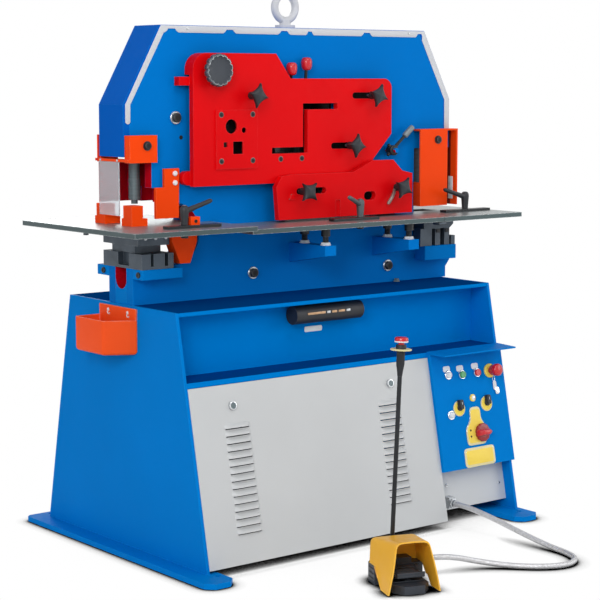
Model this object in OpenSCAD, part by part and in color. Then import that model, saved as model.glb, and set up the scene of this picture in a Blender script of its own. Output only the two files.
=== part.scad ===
// Hydraulic ironworker: a twin-plate frame with a punch station on the left, bar, angle and flat
// shears in the middle and a notcher on the right, on a cabinet that holds the power pack.
// Millimetres. The origin is on the floor below the middle of the cabinet, +X to the right along
// the front, +Y to the back and +Z up.

/* [Cabinet] */
// Length of the cabinet over its side panels
base_len = 1260; // [1250:1:1270]
// Depth of the cabinet at the floor plates
base_deep = 884; // [880:1:888]
// Depth of the cabinet at the deck
deck_deep = 584; // [580:1:588]
// Height of the deck above the floor
deck_z = 756; // [752:1:758]
// Thickness of the floor plates
foot_t = 16; // [14:1:16]
// Thickness of the side panels
panel_t = 10; // [8:1:10]
// Depth of the open shelf under the deck, from its lip to its back wall
shelf_deep = 113; // [105:1:118]
// Height of the shelf above the floor
shelf_z = 556; // [552:1:560]
// Right edge of the louvred cover, where the control box starts
cover_right = 314; // [310:1:318]
// Number of louvres in each of the two columns
louvre_count = 15; // [8:1:15]

/* [Frame] */
// Middle plane of the twin-plate frame
frame_y = 38; // [36:0.5:40]
// Thickness of each frame plate
plate_t = 36; // [34:0.5:36]
// Gap between the two frame plates
plate_gap = 60; // [59:0.5:62]
// Height of the top of the sheet hood
hood_top = 1587; // [1585:1:1592]
// Thickness of the hood's sheet
hood_t = 6; // [4:1:6]
// Height of the floor of the punch throat
throat_floor = 866; // [862:1:867]
// Wire radius of the lifting eye
eye_wire = 12; // [11:0.5:13]

/* [Tooling] */
// Height of the shear and notcher table's top
table_z = 983; // [982:0.5:984]
// Height of the punch table's top
punch_table_z = 995; // [994:0.5:996]
// Thickness of both table plates
table_t = 15; // [14:0.5:15]
// Radius of the punch
punch_r = 15; // [13:0.5:16]
// Stroke of the punch
punch_stroke = 64; // [60:1:66]
// Thickness of the red hold-down plates
red_t = 20; // [18:1:20]
// Radius of the round bar hole
bar_hole_r = 22; // [16:0.5:23]
// Side of the square bar hole
bar_hole_side = 38; // [30:0.5:40]
// Width of the angle slot
angle_slot = 19; // [16:0.5:20]

/* [Controls] */
// Tip radius of a star knob
star_r = 38; // [32:1:40]
// Radius of the round handwheel
wheel_r = 50; // [44:1:52]
// Radius of a push button's cap
button_r = 11.4; // [10:0.2:11.4]
// Radius of a mushroom stop head
stop_r = 20; // [18:0.5:21]
// Turn of the foot switch on the floor
pedal_turn = -20; // [-22:0.5:-18]

/* [Conduit] */
// Outer radius of the ribbed conduit
hose_r = 8.5; // [8:0.1:8.5]
// Number of ribs along the conduit
rib_count = 190; // [100:1:200]

/* [Hidden] */
$fn = 48;
eps = 0.01;

// Paint and material colours
blue = [0.01, 0.42, 0.74];
dark_blue = [0.03, 0.30, 0.62];
grey = [0.75, 0.76, 0.77];
red = [0.81, 0.05, 0.07];
orange = [0.98, 0.30, 0.10];
yellow = [0.98, 0.68, 0.16];
black = [0.12, 0.13, 0.15];
steel = [0.62, 0.64, 0.66];
dark_steel = [0.26, 0.29, 0.31];

// Cabinet
half_len = base_len / 2;
inner_x = half_len - panel_t;
lean_run = (base_deep - deck_deep) / 2;
lean = atan(lean_run / (deck_z - foot_t));
foot_left = -690;
foot_right = 645;
foot_w = 100;
foot_front = -535;
foot_back = 490;
foot_cut = 25;
foot_back_cut = 12;
anchor_x = 610;
anchor_y = 466;
anchor_r = 9;
deck_t = 12;
sheet_t = 4;
recess_y = front_y(shelf_z) + shelf_deep;
cover_bottom = 8;
cover_top = up_slope(539.5);
cover_sheet = 3;
cover_flange = 25;
lock_x = [-473, 141];
lock_z = 477;
louvre_x = [-463, 129];
louvre_w = 86;
louvre_h = 5;
louvre_z = [108, 410];
panel_proud = 14;
panel_right = half_len + 2;
panel_low = up_slope(176);
panel_top = up_slope(550);
canopy_y = -420;
low_cover_back = 38;
low_cover_bottom = 38;
gland_x = 357;
gland_z = 72;
gland_front = -415;
gland_nose = -434;

// Slug tray, hung on the outside of the left panel
tray_t = 3;
tray_x = -720;
tray_y = [-94, -39, 114];
tray_outer = [[-half_len, tray_y[2]], [-half_len, tray_y[0]], [tray_x, tray_y[1]], [tray_x, tray_y[2]]];
tray_inner = [[-half_len - tray_t, tray_y[2] - tray_t], [-half_len - tray_t, tray_y[0] + 5.4],
  [tray_x + tray_t, tray_y[1] + 1.8], [tray_x + tray_t, tray_y[2] - tray_t]];
tray_floor = 610;
tray_rim = 715;
tray_back = 748;

// Twin-plate frame, drawn about its own axes and set on the cabinet at frame_at
frame_at = [-28, -36, 0];
front_y0 = frame_y - plate_gap / 2 - plate_t;
front_y1 = frame_y - plate_gap / 2;
rear_y0 = frame_y + plate_gap / 2;
rear_y1 = frame_y + plate_gap / 2 + plate_t;
low_left = -598;
low_right = 674;
column_z = 1198;
throat_x = -450;
throat_z = 963;
throat_r = 95;
notch_floor = 872;
notch_wall = 525;
bar_window = [[-325, 1165], [-165, 1335]];
angle_window = [[-115, 1185], [165, 1360]];
flat_window = [[-20, 975], [440, 1100]];
pivot = [-380, 1135];
pivot_r = 25;
eye_x = 29;
eye_z = 1653;
eye_ring = 41;
eye_bore = 30;
punch_x = -546;
rod_x_pos = 300;
rod_r = 21.6;
ram_r = 17;
run_gap = 0.4;
rib_xs = [-7, 341];
rib_w = 44;
rib_reach = 182;
rib_top = 913;
rib_nose = 881;
rib_root = 850;
stud_x = 405;
stud_z = 1195;

// Outer outline of the hood and the plate outline inside it
hood_left = [[-626, column_z], [-626, 1352], [-495, hood_top]];
hood_right = [[566, hood_top], [684, 1361], [684, column_z]];
plate_left = [[-603, column_z], [-603, 1350], [-471, 1574]];
plate_right = [[545, 1574], [657, 1364], [657, column_z]];
// Seam at each bend of the hood
hood_seam = 0.2;

// Work table and what stands on it
table_low = table_z - table_t;
table_x = [-312, 820];
table_y = [-245, 356];
punch_table_low = punch_table_z - table_t;
punch_table_x = [-750, -318];
punch_table_y = [-276, 356];
fence_xy = [[-526, -196], [180, -157], [694, -100]];
fence_z = [punch_table_z, table_z, table_z];
fence_span = [[-66, 123], [-118, 69], [-101, 105]];
fence_arm_turn = [0, 208, 180];
fence_h = 8;
fence_w = 30;
fence_slot = 12;
fence_stud_r = 5;
fence_travel = 30;
fence_gap = 0.3;

// Left face of the punch guard and the heights of its brackets and bar
guard_x = -629;
guard_z = 1181;
guard_bar_z = 1184;

// Red hold-down plates
red_y1 = front_y0 - 24;
red_y0 = red_y1 - red_t;
bar_plate_t = 6;
low_red_y1 = red_y0 - 4;
low_red_y0 = low_red_y1 - red_t;
round_hole = [-268, 1284];
square_hole = [-243, 1219];
wheel_at = [-332, 1453];
star_at = [[-190, 1377], [296, 1375], [204, 1216], [-10, 1078], [385, 1076]];
star_slot = [[-190, -190], [228, 310], [140, 215], [-20, 80], [385, 385]];
star_stem_r = 4.5;
slot_half = 10;
ball_at = [[-10, 1459], [50, 1475]];
ball_foot_z = 1400;
ball_y = -46;
ball_stem_y = -40;
ball_r = 16.5;

// Control panel: places across the panel and heights up it
lamp_at = [382, 480];
green_at = [440, 475];
red_at = [507, 475];
stop_at = [566, 476];
left_turn_at = [412, 373];
right_turn_at = [535, 376];
small_lamp_at = [476, 397];
white_lamp_at = [373, 353];
main_at = [495, 284];

// Foot switch, in its own frame: x across, y from the front of the guard to the back
pedal_at = [-257, -914, 0];
pedal_hinge = [0, 112, 45];
pedal_pin_r = 3;
post_foot = [-191, -741, 72];
post_lean = 3;
post_r = 6.5;
port_y = 185;
port_z = 46;
port_end = 69;

// Route of the conduit from the gland to the foot switch
hose_route = [
  [357, -434, 72], [357, -452, 72], [358, -495, 70], [360, -545, 64], [363, -600, 55],
  [367, -660, 43], [371, -720, 31], [375, -780, 20], [377, -840, 12], [374, -892, 9],
  [359, -938, 9], [332, -970, 9], [295, -986, 9], [256, -984, 9], [220, -968, 9],
  [187, -944, 9], [157, -914, 9], [126, -882, 11], [94, -854, 16], [56, -830, 24],
  [14, -812, 35], [-29, -798, 43], [-72, -785, 46], [-112, -770, 46], [-129, -764, 46]];
hose_bore_r = 6;
hose_valley_r = 7.5;
hose_sides = 8;
bore_rings = 60;

// Depth of the sloping front at a height
function front_y(z) = -base_deep / 2 + (z - foot_t) * lean_run / (deck_z - foot_t);

// Distance up the sloping front at a height
function up_slope(z) = (z - foot_t) / cos(lean);

// Outline in Y and Z, carried from x0 to x1
module across_x(x0, x1) {
  translate([x0, 0, 0])
    rotate([90, 0, 90])
      linear_extrude(x1 - x0)
        children();
}

// Outline in X and Z, carried from y0 to y1
module across_y(y0, y1) {
  translate([0, y1, 0])
    rotate([90, 0, 0])
      linear_extrude(y1 - y0)
        children();
}

// Plan outline, carried from z0 to z1
module across_z(z0, z1) {
  translate([0, 0, z0])
    linear_extrude(z1 - z0)
      children();
}

// Box between two corners
module block(low, high) {
  translate(low)
    cube(high - low);
}

// Rectangle between two corners
module rect(low, high) {
  translate(low)
    square(high - low);
}

module rod_x(y, z, r, x0, x1) {
  translate([x0, y, z])
    rotate([0, 90, 0])
      cylinder(r = r, h = x1 - x0);
}

module rod_y(x, z, r, y0, y1) {
  translate([x, y1, z])
    rotate([90, 0, 0])
      cylinder(r = r, h = y1 - y0);
}

module rod_z(x, y, r, z0, z1) {
  translate([x, y, z0])
    cylinder(r = r, h = z1 - z0);
}

// Six-sided bolt head along Y
module hex_y(x, z, r, y0, y1) {
  translate([x, y1, z])
    rotate([90, 0, 0])
      cylinder(r = r, h = y1 - y0, $fn = 6);
}

// Frame of the sloping front: x across, -y outwards, z up the slope from the floor plates
module on_slope() {
  translate([0, -base_deep / 2, foot_t])
    rotate([-lean, 0, 0])
      children();
}

// Frame of a control on the panel: +z points out of the panel's face
module on_panel(at) {
  on_slope()
    translate([at[0], -panel_proud, up_slope(at[1] - panel_proud * sin(lean))])
      rotate([90, 0, 0])
        children();
}

// Place of the frame and its tooling on the cabinet
module on_frame() {
  translate(frame_at)
    children();
}

// Frame of the foot switch
module on_pedal() {
  translate(pedal_at)
    rotate([0, 0, pedal_turn])
      children();
}

// Frame of the stop post: +z runs up the post
module on_post() {
  translate(post_foot)
    rotate([0, post_lean, 0])
      children();
}

// Floor plate with cut corners and two anchor holes
module foot_plate(x0, hole_x) {
  x1 = x0 + foot_w;
  difference() {
    across_z(0, foot_t)
      polygon([[x0 + foot_cut, foot_front], [x1 - foot_cut, foot_front], [x1, foot_front + foot_cut],
        [x1, foot_back - foot_back_cut], [x1 - foot_back_cut, foot_back], [x0 + foot_back_cut, foot_back],
        [x0, foot_back - foot_back_cut], [x0, foot_front + foot_cut]]);
    for (y = [-anchor_y, anchor_y])
      rod_z(hole_x, y, anchor_r, -1, foot_t + 1);
  }
}

// Trapezoid side wall, sunk a little into its floor plate
module side_wall(x0) {
  sunk = foot_t - 4;
  across_x(x0, x0 + panel_t)
    polygon([[front_y(sunk), sunk], [-front_y(sunk), sunk], [deck_deep / 2, deck_z],
      [-deck_deep / 2, deck_z]]);
}

module left_side_panel() {
  color(blue) {
    side_wall(-half_len);
    foot_plate(foot_left, -anchor_x);
  }
}

module right_side_panel() {
  color(blue) {
    side_wall(inner_x);
    foot_plate(foot_right - foot_w, anchor_x);
  }
}

// Sloping back of the cabinet with two columns of vent slots
module rear_panel() {
  low = foot_t + 14;
  high = deck_z - deck_t;
  color(blue)
    difference() {
      across_x(-inner_x, inner_x)
        polygon([[-front_y(low), low], [-front_y(high), high], [-front_y(high) - sheet_t, high],
          [-front_y(low) - sheet_t, low]]);
      for (x = louvre_x, i = [0:9])
        block([x - louvre_w / 2, 250, 300 + 26 * i], [x + louvre_w / 2, 450, 306 + 26 * i]);
    }
}

// Deck, recess wall and shelf, folded as one sheet
module top_deck() {
  lip = shelf_z - 16;
  color(blue) {
    block([-inner_x, -deck_deep / 2, deck_z - deck_t], [inner_x, deck_deep / 2, deck_z]);
    block([-inner_x, recess_y, shelf_z - 6], [inner_x, recess_y + sheet_t, deck_z - deck_t + 1]);
    across_x(-inner_x, inner_x)
      polygon([[front_y(shelf_z), shelf_z], [recess_y + sheet_t, shelf_z],
        [recess_y + sheet_t, shelf_z - 6], [front_y(shelf_z) + 6, shelf_z - 6],
        [front_y(lip) + 6, lip], [front_y(lip), lip]]);
  }
}

// Louvred front cover with its side and top returns
module front_cover() {
  step = (louvre_z[1] - louvre_z[0]) / (louvre_count - 1);
  color(grey)
    on_slope()
      difference() {
        union() {
          block([-inner_x, -2, cover_bottom], [cover_right, 1, cover_top]);
          block([cover_right - cover_sheet, 0, cover_bottom], [cover_right, cover_flange, cover_top]);
          block([-inner_x, 0, cover_top - cover_sheet], [cover_right, cover_flange, cover_top]);
        }
        for (x = louvre_x, i = [0:louvre_count - 1])
          block([x - louvre_w / 2, -3, up_slope(louvre_z[0] + step * i)],
            [x + louvre_w / 2, 2, up_slope(louvre_z[0] + step * i) + louvre_h]);
        for (x = lock_x)
          rod_y(x, up_slope(lock_z), 9.6, -3, 3);
      }
}

module lower_cover() {
  color(grey)
    on_slope()
      block([cover_right, low_cover_back, low_cover_bottom],
        [inner_x, low_cover_back + cover_sheet, panel_low - 4]);
}

// Point in Y and Z at a depth behind the sloping front and a distance up it
function slope_point(deep, up) =
  [deep * cos(lean) + up * sin(lean) - base_deep / 2, foot_t + up * cos(lean) - deep * sin(lean)];

// Control box: proud front panel with a canopy over the controls, and the enclosure behind it
module control_box() {
  box_deep = 70;
  box_low = panel_low + 4;
  box_top = up_slope(525);
  color(blue) {
    across_x(cover_right, panel_right)
      polygon([slope_point(-panel_proud, panel_low), slope_point(0, panel_low),
        slope_point(0, panel_top + 9), [canopy_y, 556], [canopy_y, 551],
        slope_point(-panel_proud, panel_top - 3)]);
    across_x(cover_right, inner_x)
      polygon([slope_point(-1, box_low), slope_point(box_deep, box_low),
        slope_point(box_deep, box_top), slope_point(-1, box_top)]);
  }
}

// Open tray of folded sheet with a back plate that hangs on the side panel
module slug_tray() {
  color(orange) {
    difference() {
      across_z(tray_floor, tray_rim)
        polygon(tray_outer);
      across_z(tray_floor + tray_t, tray_rim + 1)
        polygon(tray_inner);
    }
    block([-half_len - tray_t, tray_outer[1][1], tray_floor], [-half_len, tray_outer[0][1], tray_back]);
  }
}

// Round holder for the loose keys, on two saddles
module tool_tube() {
  tube_r = 28.5;
  tube_y = recess_y - tube_r - 3;
  color(black)
    difference() {
      union() {
        rod_x(tube_y, 708, tube_r, -171, 97);
        for (x = [-130, 40])
          block([x, tube_y, 694], [x + 24, recess_y, 722]);
      }
      rod_x(tube_y, 708, tube_r - 4, -161, 98);
    }
}

// Oil tank on two rails, with the motor, pump and valve block on its lid
module power_pack() {
  color(dark_steel) {
    for (y = [-90, 70])
      block([-inner_x, y, 60], [inner_x, y + 40, 90]);
    block([-520, -180, 90 - eps], [40, 180, 330]);
    block([-440, -60, 329], [-220, 60, 345]);
    rod_x(0, 435, 92, -450, -190);
    rod_x(0, 435, 48, -191, -70);
    block([-70 - eps, -50, 329], [30, 50, 485]);
  }
}

// Outline of one frame plate, with the punch throat on the left and the notch throat on the right
module frame_outline() {
  difference() {
    polygon(concat(
      [[low_left, deck_z], [low_left, throat_floor], [throat_x, throat_floor], [throat_x, 1060],
        [-501, 1060], [-501, 1104], [-528, 1104], [-528, column_z]],
      plate_left, plate_right,
      [[notch_wall, column_z], [notch_wall, notch_floor], [low_right + 18, notch_floor],
        [low_right + 18, 814], [low_right, 792], [low_right, deck_z]]));
    translate([throat_x, throat_z])
      circle(r = throat_r);
    for (w = [bar_window, angle_window, flat_window])
      rect(w[0], w[1]);
  }
}

// Front plate with the welded ribs that carry the table and the stud of the clamp lever
module frame_front_plate() {
  color(blue) {
    across_y(front_y0, front_y1)
      frame_outline();
    for (x = rib_xs)
      across_x(x, x + rib_w)
        polygon([[front_y0 + 1, rib_root], [front_y0 + 1, rib_top], [front_y0 - rib_reach, rib_top],
          [front_y0 - rib_reach, rib_nose]]);
    rod_y(stud_x, stud_z, 8, -78, front_y0 + 1);
  }
}

module frame_rear_plate() {
  color(dark_blue)
    across_y(rear_y0, rear_y1)
      frame_outline();
}

// One straight side of an outline, short of the seam at each of its ends
function one_side(line, i) =
  let (way = (line[i + 1] - line[i]) / norm(line[i + 1] - line[i]) * hood_seam / 2)
  [line[i] + way, line[i + 1] - way];

// Section of the hood on one side of its outline, from the outer edge in to a given inner edge
module hood_side(outer, inner, i) {
  far = one_side(outer, i);
  near = one_side(inner, i);
  polygon([far[0], far[1], near[1], near[0]]);
}

// Points of a hood edge moved inwards
function moved_in(points, dx, dz) = [for (p = points) [p[0] + dx, p[1] - (p[1] > 1500 ? dz : 0)]];

// Sheet hood round the upper frame: five straight channels with a flange down to each plate
module end_hood() {
  outer = concat(hood_left, hood_right);
  plate = concat(plate_left, plate_right);
  inner = concat(moved_in(hood_left, hood_t, hood_t), moved_in(hood_right, -hood_t, hood_t));
  color(dark_blue)
    for (i = [0:len(outer) - 2]) {
      across_y(front_y0, rear_y1)
        hood_side(outer, inner, i);
      for (y = [front_y0, rear_y1 - hood_t])
        across_y(y, y + hood_t)
          hood_side(outer, plate, i);
    }
}

// Lifting eye with a short straight land in its ring
module eye_bolt() {
  color(grey) {
    difference() {
      translate([eye_x, frame_y, eye_z])
        rotate([90, 0, 0])
          rotate_extrude()
            translate([eye_ring, 0])
              circle(r = eye_wire);
      rod_y(eye_x, eye_z, eye_bore, frame_y - 20, frame_y + 20);
    }
    rod_z(eye_x, frame_y, 32, hood_top, hood_top + 10);
    rod_z(eye_x, frame_y, 18, hood_top + 9, eye_z - eye_ring + 2);
  }
}

// Frame bolts with washers, table bolts and the screws of the guards and red plates
module machine_bolts() {
  color(dark_steel) {
    for (p = [[-440, 1312], [-152, 825], [409, 812]]) {
      rod_y(p[0], p[1], 21, front_y0 - 5, front_y0);
      hex_y(p[0], p[1], 15, front_y0 - 14, front_y0 - 4);
    }
    for (x = rib_xs, y = [-80, -185])
      translate([x + rib_w / 2, y, 0]) {
        rod_z(0, 0, 10, rib_top, table_low);
        translate([0, 0, rib_top])
          cylinder(r = 17, h = 14, $fn = 6);
      }
    hex_y(-561, 1231, 13, -66, -57);
    hex_y(600, 1226, 13, -73, -64);
    for (x = [-306, -187], z = [1179, 1320])
      rod_y(x, z, 7, red_y0 - bar_plate_t - 3, red_y0 - bar_plate_t);
    for (x = [-74, 10])
      rod_y(x, 1180, 7, red_y0 - 3, red_y0);
    for (z = [1118, 1146])
      rod_y(-452, z, 8, -46, -40);
  }
}

// Spacers, pivot pin and the blocks of both cylinders, clamped between the frame plates
module frame_spacers() {
  color(dark_steel) {
    block([low_left, front_y1, deck_z], [low_right, rear_y0, deck_z + 45]);
    block([-460, front_y1, 1545], [535, rear_y0, 1572]);
    block([455, front_y1, 806], [notch_wall - 5, rear_y0, 960]);
    block([-330, front_y1, 806], [-200, rear_y0, 940]);
    rod_y(pivot[0], pivot[1], pivot_r, front_y1, rear_y0);
    difference() {
      union() {
        block([punch_x - 48, front_y1, 1230], [punch_x + 48, rear_y0, 1350]);
        block([rod_x_pos - 50, front_y1, 1450], [rod_x_pos + 50, rear_y0, 1540]);
      }
      rod_z(punch_x, frame_y, ram_r + run_gap, 1229, 1342);
      rod_z(rod_x_pos, frame_y, rod_r + run_gap, 1449, 1530);
    }
  }
}

// Punch ram with its holder and a round punch
module punch_ram() {
  tip_z = punch_table_z - 4 + punch_stroke;
  color(dark_steel) {
    rod_z(punch_x, frame_y, ram_r, 1120, 1335);
    rod_z(punch_x, frame_y, punch_r + 3, tip_z + 12, 1130);
    rod_z(punch_x, frame_y, punch_r - 5, tip_z, tip_z + 13);
  }
}

module shear_rod() {
  color(steel)
    rod_z(rod_x_pos, frame_y, rod_r, 1426.5, 1485);
}

// Moving beam with its blade, its windows over the tool stations and the notch punch
module shear_beam() {
  side_gap = 2;
  color(dark_steel)
    difference() {
      across_y(front_y1 + side_gap, rear_y0 - side_gap)
        difference() {
          union() {
            polygon([[-425, 1135], [-380, 1084], [-110, 1110], [-66, 1095], [-52, 996], [440, 996],
              [450, 1110], [548, 1110], [548, 1046], [648, 1046], [648, 1190], [600, 1330],
              [420, 1425], [180, 1425], [-345, 1400], [-425, 1200]]);
            translate(pivot)
              circle(r = 54);
          }
          for (w = [bar_window, angle_window])
            rect(w[0], w[1]);
        }
      rod_y(pivot[0], pivot[1], pivot_r + run_gap, front_y1, rear_y0);
    }
}

// Blocks bolted to both faces of the lower frame, under the punch and the notcher
module die_bases() {
  color(blue)
    for (y = [[front_y0 - 54, front_y0], [rear_y1, rear_y1 + 66]]) {
      block([low_left, y[0], 835], [-455, y[1], throat_floor]);
      block([530, y[0], 824], [672, y[1], notch_floor]);
    }
}

// Punch die in its holder on the left and notch die on the right
module die_blocks() {
  slot_x = [534, 654];
  slot_y = [front_y1, rear_y0];
  color(dark_steel) {
    difference() {
      union() {
        block([low_left, -78, throat_floor], [-485, 134, 912]);
        block([-588, -24, 911], [-495, 100, 936]);
        block([low_left, -58, 935], [-486, 134, punch_table_low]);
        rod_z(punch_x, frame_y, 29.7, punch_table_low - 1, punch_table_z);
      }
      rod_z(punch_x, frame_y, punch_r - 4, throat_floor - 1, punch_table_z + 1);
      for (x = [[-566, -556], [-516, -504]])
        block([x[0], -79, throat_floor + 8], [x[1], -50, 913]);
      block([low_left - 1, -8, throat_floor + 8], [low_left + 20, 52, 913]);
    }
    difference() {
      union() {
        block([530, -44, notch_floor], [666, 150, 930]);
        across_y(-76, 144)
          polygon([[530, 929], [648, 929], [664, 942], [664, table_low], [530, table_low]]);
        for (x = [[514, 566], [581, 604], [623, 646]])
          block([x[0], -76, notch_floor], [x[1], -43, 930]);
        block([654, -76, notch_floor], [672, -40, 902]);
        block([slot_x[0] - 6, slot_y[0] - 6, table_low - 1], [slot_x[1] + 6, slot_y[1] + 6, table_z]);
      }
      block([slot_x[0], slot_y[0], notch_floor - 1], [slot_x[1], slot_y[1], table_z + 1]);
    }
  }
}

// Punch table and lower shear table, cut out round the frame, over the dies and along the fence slots
module work_table() {
  color(steel)
    difference() {
      union() {
        block([punch_table_x[0], punch_table_y[0], punch_table_low],
          [punch_table_x[1], punch_table_y[1], punch_table_z]);
        block([table_x[0], table_y[0], table_low], [table_x[1], table_y[1], table_z]);
      }
      block([-366, front_y0 - 0.5, 900], [notch_wall + 2, rear_y1 + 0.5, 1000]);
      rod_z(punch_x, frame_y, 30, 900, 1000);
      block([527.6, front_y1 - 6.4, 900], [660.4, rear_y0 + 6.4, 1000]);
      for (p = fence_xy)
        block([p[0] - fence_travel - 8, p[1] - fence_slot / 2, 900],
          [p[0] + fence_travel + 8, p[1] + fence_slot / 2, 1000]);
    }
}

// Brackets on both faces of the punch column, the bar that joins them and a back plate
module punch_guard() {
  rail_y = [-57, 124];
  color(orange) {
    block([-622, rail_y[0], guard_z], [-525, front_y0, 1262]);
    block([-622, rear_y1, guard_z], [-560, rail_y[1], 1262]);
    block([guard_x, rail_y[0], guard_bar_z], [-604, rail_y[1], guard_bar_z + 8]);
    block([-622, 110, 1060], [-445, 116, guard_z + 1]);
  }
}

// Clear sheet below the bar, just outside the rear stripper leg
module guard_window() {
  color([0.85, 0.92, 0.95, 0.4])
    block([guard_x, -4, 1024], [guard_x + 5, 104, guard_bar_z]);
}

// Stripper legs on the table, the side plate on the frame and the chute below the table
module punch_stripper() {
  color(orange) {
    for (y = [-65, 84]) {
      block([-623, y, punch_table_z], [-583, y + 47, 1056]);
      block([-623, y, punch_table_z], [-567, y + 56, punch_table_z + 23]);
    }
    across_y(front_y0 - 12, front_y0)
      polygon([[-520, 1012], [-438, 1012], [-435, 1161], [-489, 1161], [-489, 1105], [-520, 1105]]);
    across_y(front_y0 - 42, front_y0)
      polygon([[-484, punch_table_low], [-393, punch_table_low], [-393, 940], [-418, 876], [-455, 876],
        [-484, 945]]);
  }
}

// Notcher guard: front plate, short left wall, right wall and top strip
module notch_guard() {
  front = -64;
  sheet = 6;
  color(orange) {
    block([522, front, 1005], [645, front + sheet, 1262]);
    block([522, front + 1, 1005], [528, front_y0, 1085]);
    block([522, front + 1, 1256], [692, front_y0, 1262]);
    block([686, front, 1005], [692, rear_y1, 1262]);
    rod_y(600, 1226, 12, front + 1, front_y0);
  }
}

// Slot with round ends along X
module round_slot(x0, x1, z, half) {
  for (x = [x0, x1])
    translate([x, z])
      circle(r = half);
  if (x1 > x0)
    rect([x0, z - half], [x1, z + half]);
}

// Z-shaped slot that angle stock is fed through
module angle_profile() {
  half = angle_slot / 2;
  rect([18, 1342 - half], [156, 1342 + half]);
  rect([24.5 - half, 1206 - half], [24.5 + half, 1342 + half]);
  rect([-108, 1206 - half], [18, 1206 + half]);
}

// Outline of the main red plate, with its two large corners rounded
module red_outline() {
  polygon([[-405, 1105], [-405, 1455], [-355, 1505], [-91, 1505], [-34, 1429], [353, 1429],
    [385, 1397], [385, 1251], [306, 1169], [306, 1105]]);
  translate([-355, 1455])
    circle(r = 50);
  translate([353, 1397])
    circle(r = 32);
}

// Main hold-down plate on its stand-offs and rails, with the pivots of the two ball levers
module holddown_plate() {
  color(red) {
    across_y(red_y0, red_y1)
      difference() {
        red_outline();
        rect([-305, 1190], [-190, 1310]);
        angle_profile();
        for (i = [0:2])
          round_slot(star_slot[i][0], star_slot[i][1], star_at[i][1], slot_half);
        translate(wheel_at)
          circle(r = 7);
      }
    across_y(red_y1 - 1, front_y0) {
      intersection() {
        red_outline();
        rect([-405, 1440], [-335, 1505]);
      }
      hull() {
        translate([-411, 1130])
          circle(r = 21);
        rect([-400, 1109], [-370, 1151]);
      }
    }
    block([-443, red_y1 - 1, 1408], [-402, front_y0, 1434]);
    block([345, red_y1 - 1, 1290], [380, front_y0, 1340]);
    block([250, red_y1 - 1, 1108], [300, front_y0, 1150]);
    for (p = ball_at)
      rod_y(p[0], ball_foot_z, 4, red_y1 - 1, front_y0);
  }
}

// Raised plate over the bar shear, with a round, a square and two small holes
module bar_shear_plate() {
  color(red)
    across_y(red_y0 - bar_plate_t, red_y0)
      difference() {
        rect([-324, 1155], [-169, 1334]);
        translate(round_hole)
          circle(r = bar_hole_r);
        translate(square_hole)
          square(bar_hole_side, center = true);
        translate([-220, 1272])
          circle(r = 9);
        translate([-290, 1229])
          square(15, center = true);
      }
}

// Lower plate that holds flat stock down, on two feet against the frame
module shear_holddown() {
  foot_y = [low_red_y1 - 1, front_y0];
  color(red) {
    difference() {
      across_y(low_red_y0, low_red_y1)
        difference() {
          polygon([[-100, 991], [-109, 1095], [-88, 1126], [-52, 1131], [202, 1131], [285, 1166],
            [374, 1166], [412, 1130], [457, 1120], [457, 991]]);
          round_slot(star_slot[3][0], star_slot[3][1], star_at[3][1], slot_half);
          round_slot(star_slot[4][0], star_slot[4][1], star_at[4][1], slot_half);
          round_slot(262, 284, 1053, 14);
        }
      block([128, low_red_y0 - 1, 990], [148, low_red_y0 + 6, 1045]);
    }
    block([-64, foot_y[0], 1000], [-34, foot_y[1], 1090]);
    block([444, foot_y[0], 1000], [456, foot_y[1], 1090]);
  }
}

// Round fluted handwheel on the main red plate
module round_knob() {
  flutes = 14;
  color(black) {
    rod_y(wheel_at[0], wheel_at[1], 6.5, red_y0 - 10, red_y1 - 2);
    rod_y(wheel_at[0], wheel_at[1], 18, red_y0 - 14, red_y0 - 0.5);
    difference() {
      rod_y(wheel_at[0], wheel_at[1], wheel_r, red_y0 - 40, red_y0 - 13);
      for (i = [0:flutes - 1])
        rod_y(wheel_at[0] + (wheel_r + 2) * cos(360 * i / flutes),
          wheel_at[1] + (wheel_r + 2) * sin(360 * i / flutes), 5, red_y0 - 41, red_y0 - 12);
      rod_y(wheel_at[0], wheel_at[1], wheel_r - 12, red_y0 - 41, red_y0 - 36);
    }
  }
}

// Four-point star knob whose stem stands in a slot of the plate behind it
module star_knob(at, face_y, turn) {
  waist = 13;
  color(black) {
    rod_y(at[0], at[1], star_stem_r, face_y - 2, face_y + red_t - 2);
    rod_y(at[0], at[1], 12, face_y - 38, face_y - 0.5);
    translate([at[0], face_y - 34, at[1]])
      rotate([90, turn, 0])
        linear_extrude(18)
          polygon([for (i = [0:7]) (i % 2 == 0 ? star_r : waist) * [cos(45 * i), sin(45 * i)]]);
  }
}

// Hand lever with a ball, on a pivot behind the main red plate
module ball_lever(at) {
  color(red) {
    difference() {
      rod_y(at[0], ball_foot_z, 12, -47, -33);
      rod_y(at[0], ball_foot_z, 4 + run_gap, -48, -32);
    }
    translate([at[0], ball_stem_y, ball_foot_z + 9])
      cylinder(r = 5, h = at[1] - ball_foot_z - 12);
    translate([at[0], ball_y, at[1]])
      sphere(r = ball_r);
  }
}

// Clamp lever with a round grip, turning on the stud of the front plate
module clamp_handle() {
  arm = 40;
  color(dark_steel)
    difference() {
      translate([stud_x, -53, stud_z])
        rotate([0, -arm, 0]) {
          rod_y(0, 0, 17, -15, 12);
          rod_x(0, 0, 5, 12, 74);
          rod_x(0, 0, 10, 72, 118);
          block([-26, -6, -5], [0, 6, 5]);
          block([-5, -6, 0], [5, 6, 26]);
        }
      rod_y(stud_x, stud_z, 8 + run_gap, -90, front_y0);
    }
}

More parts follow.
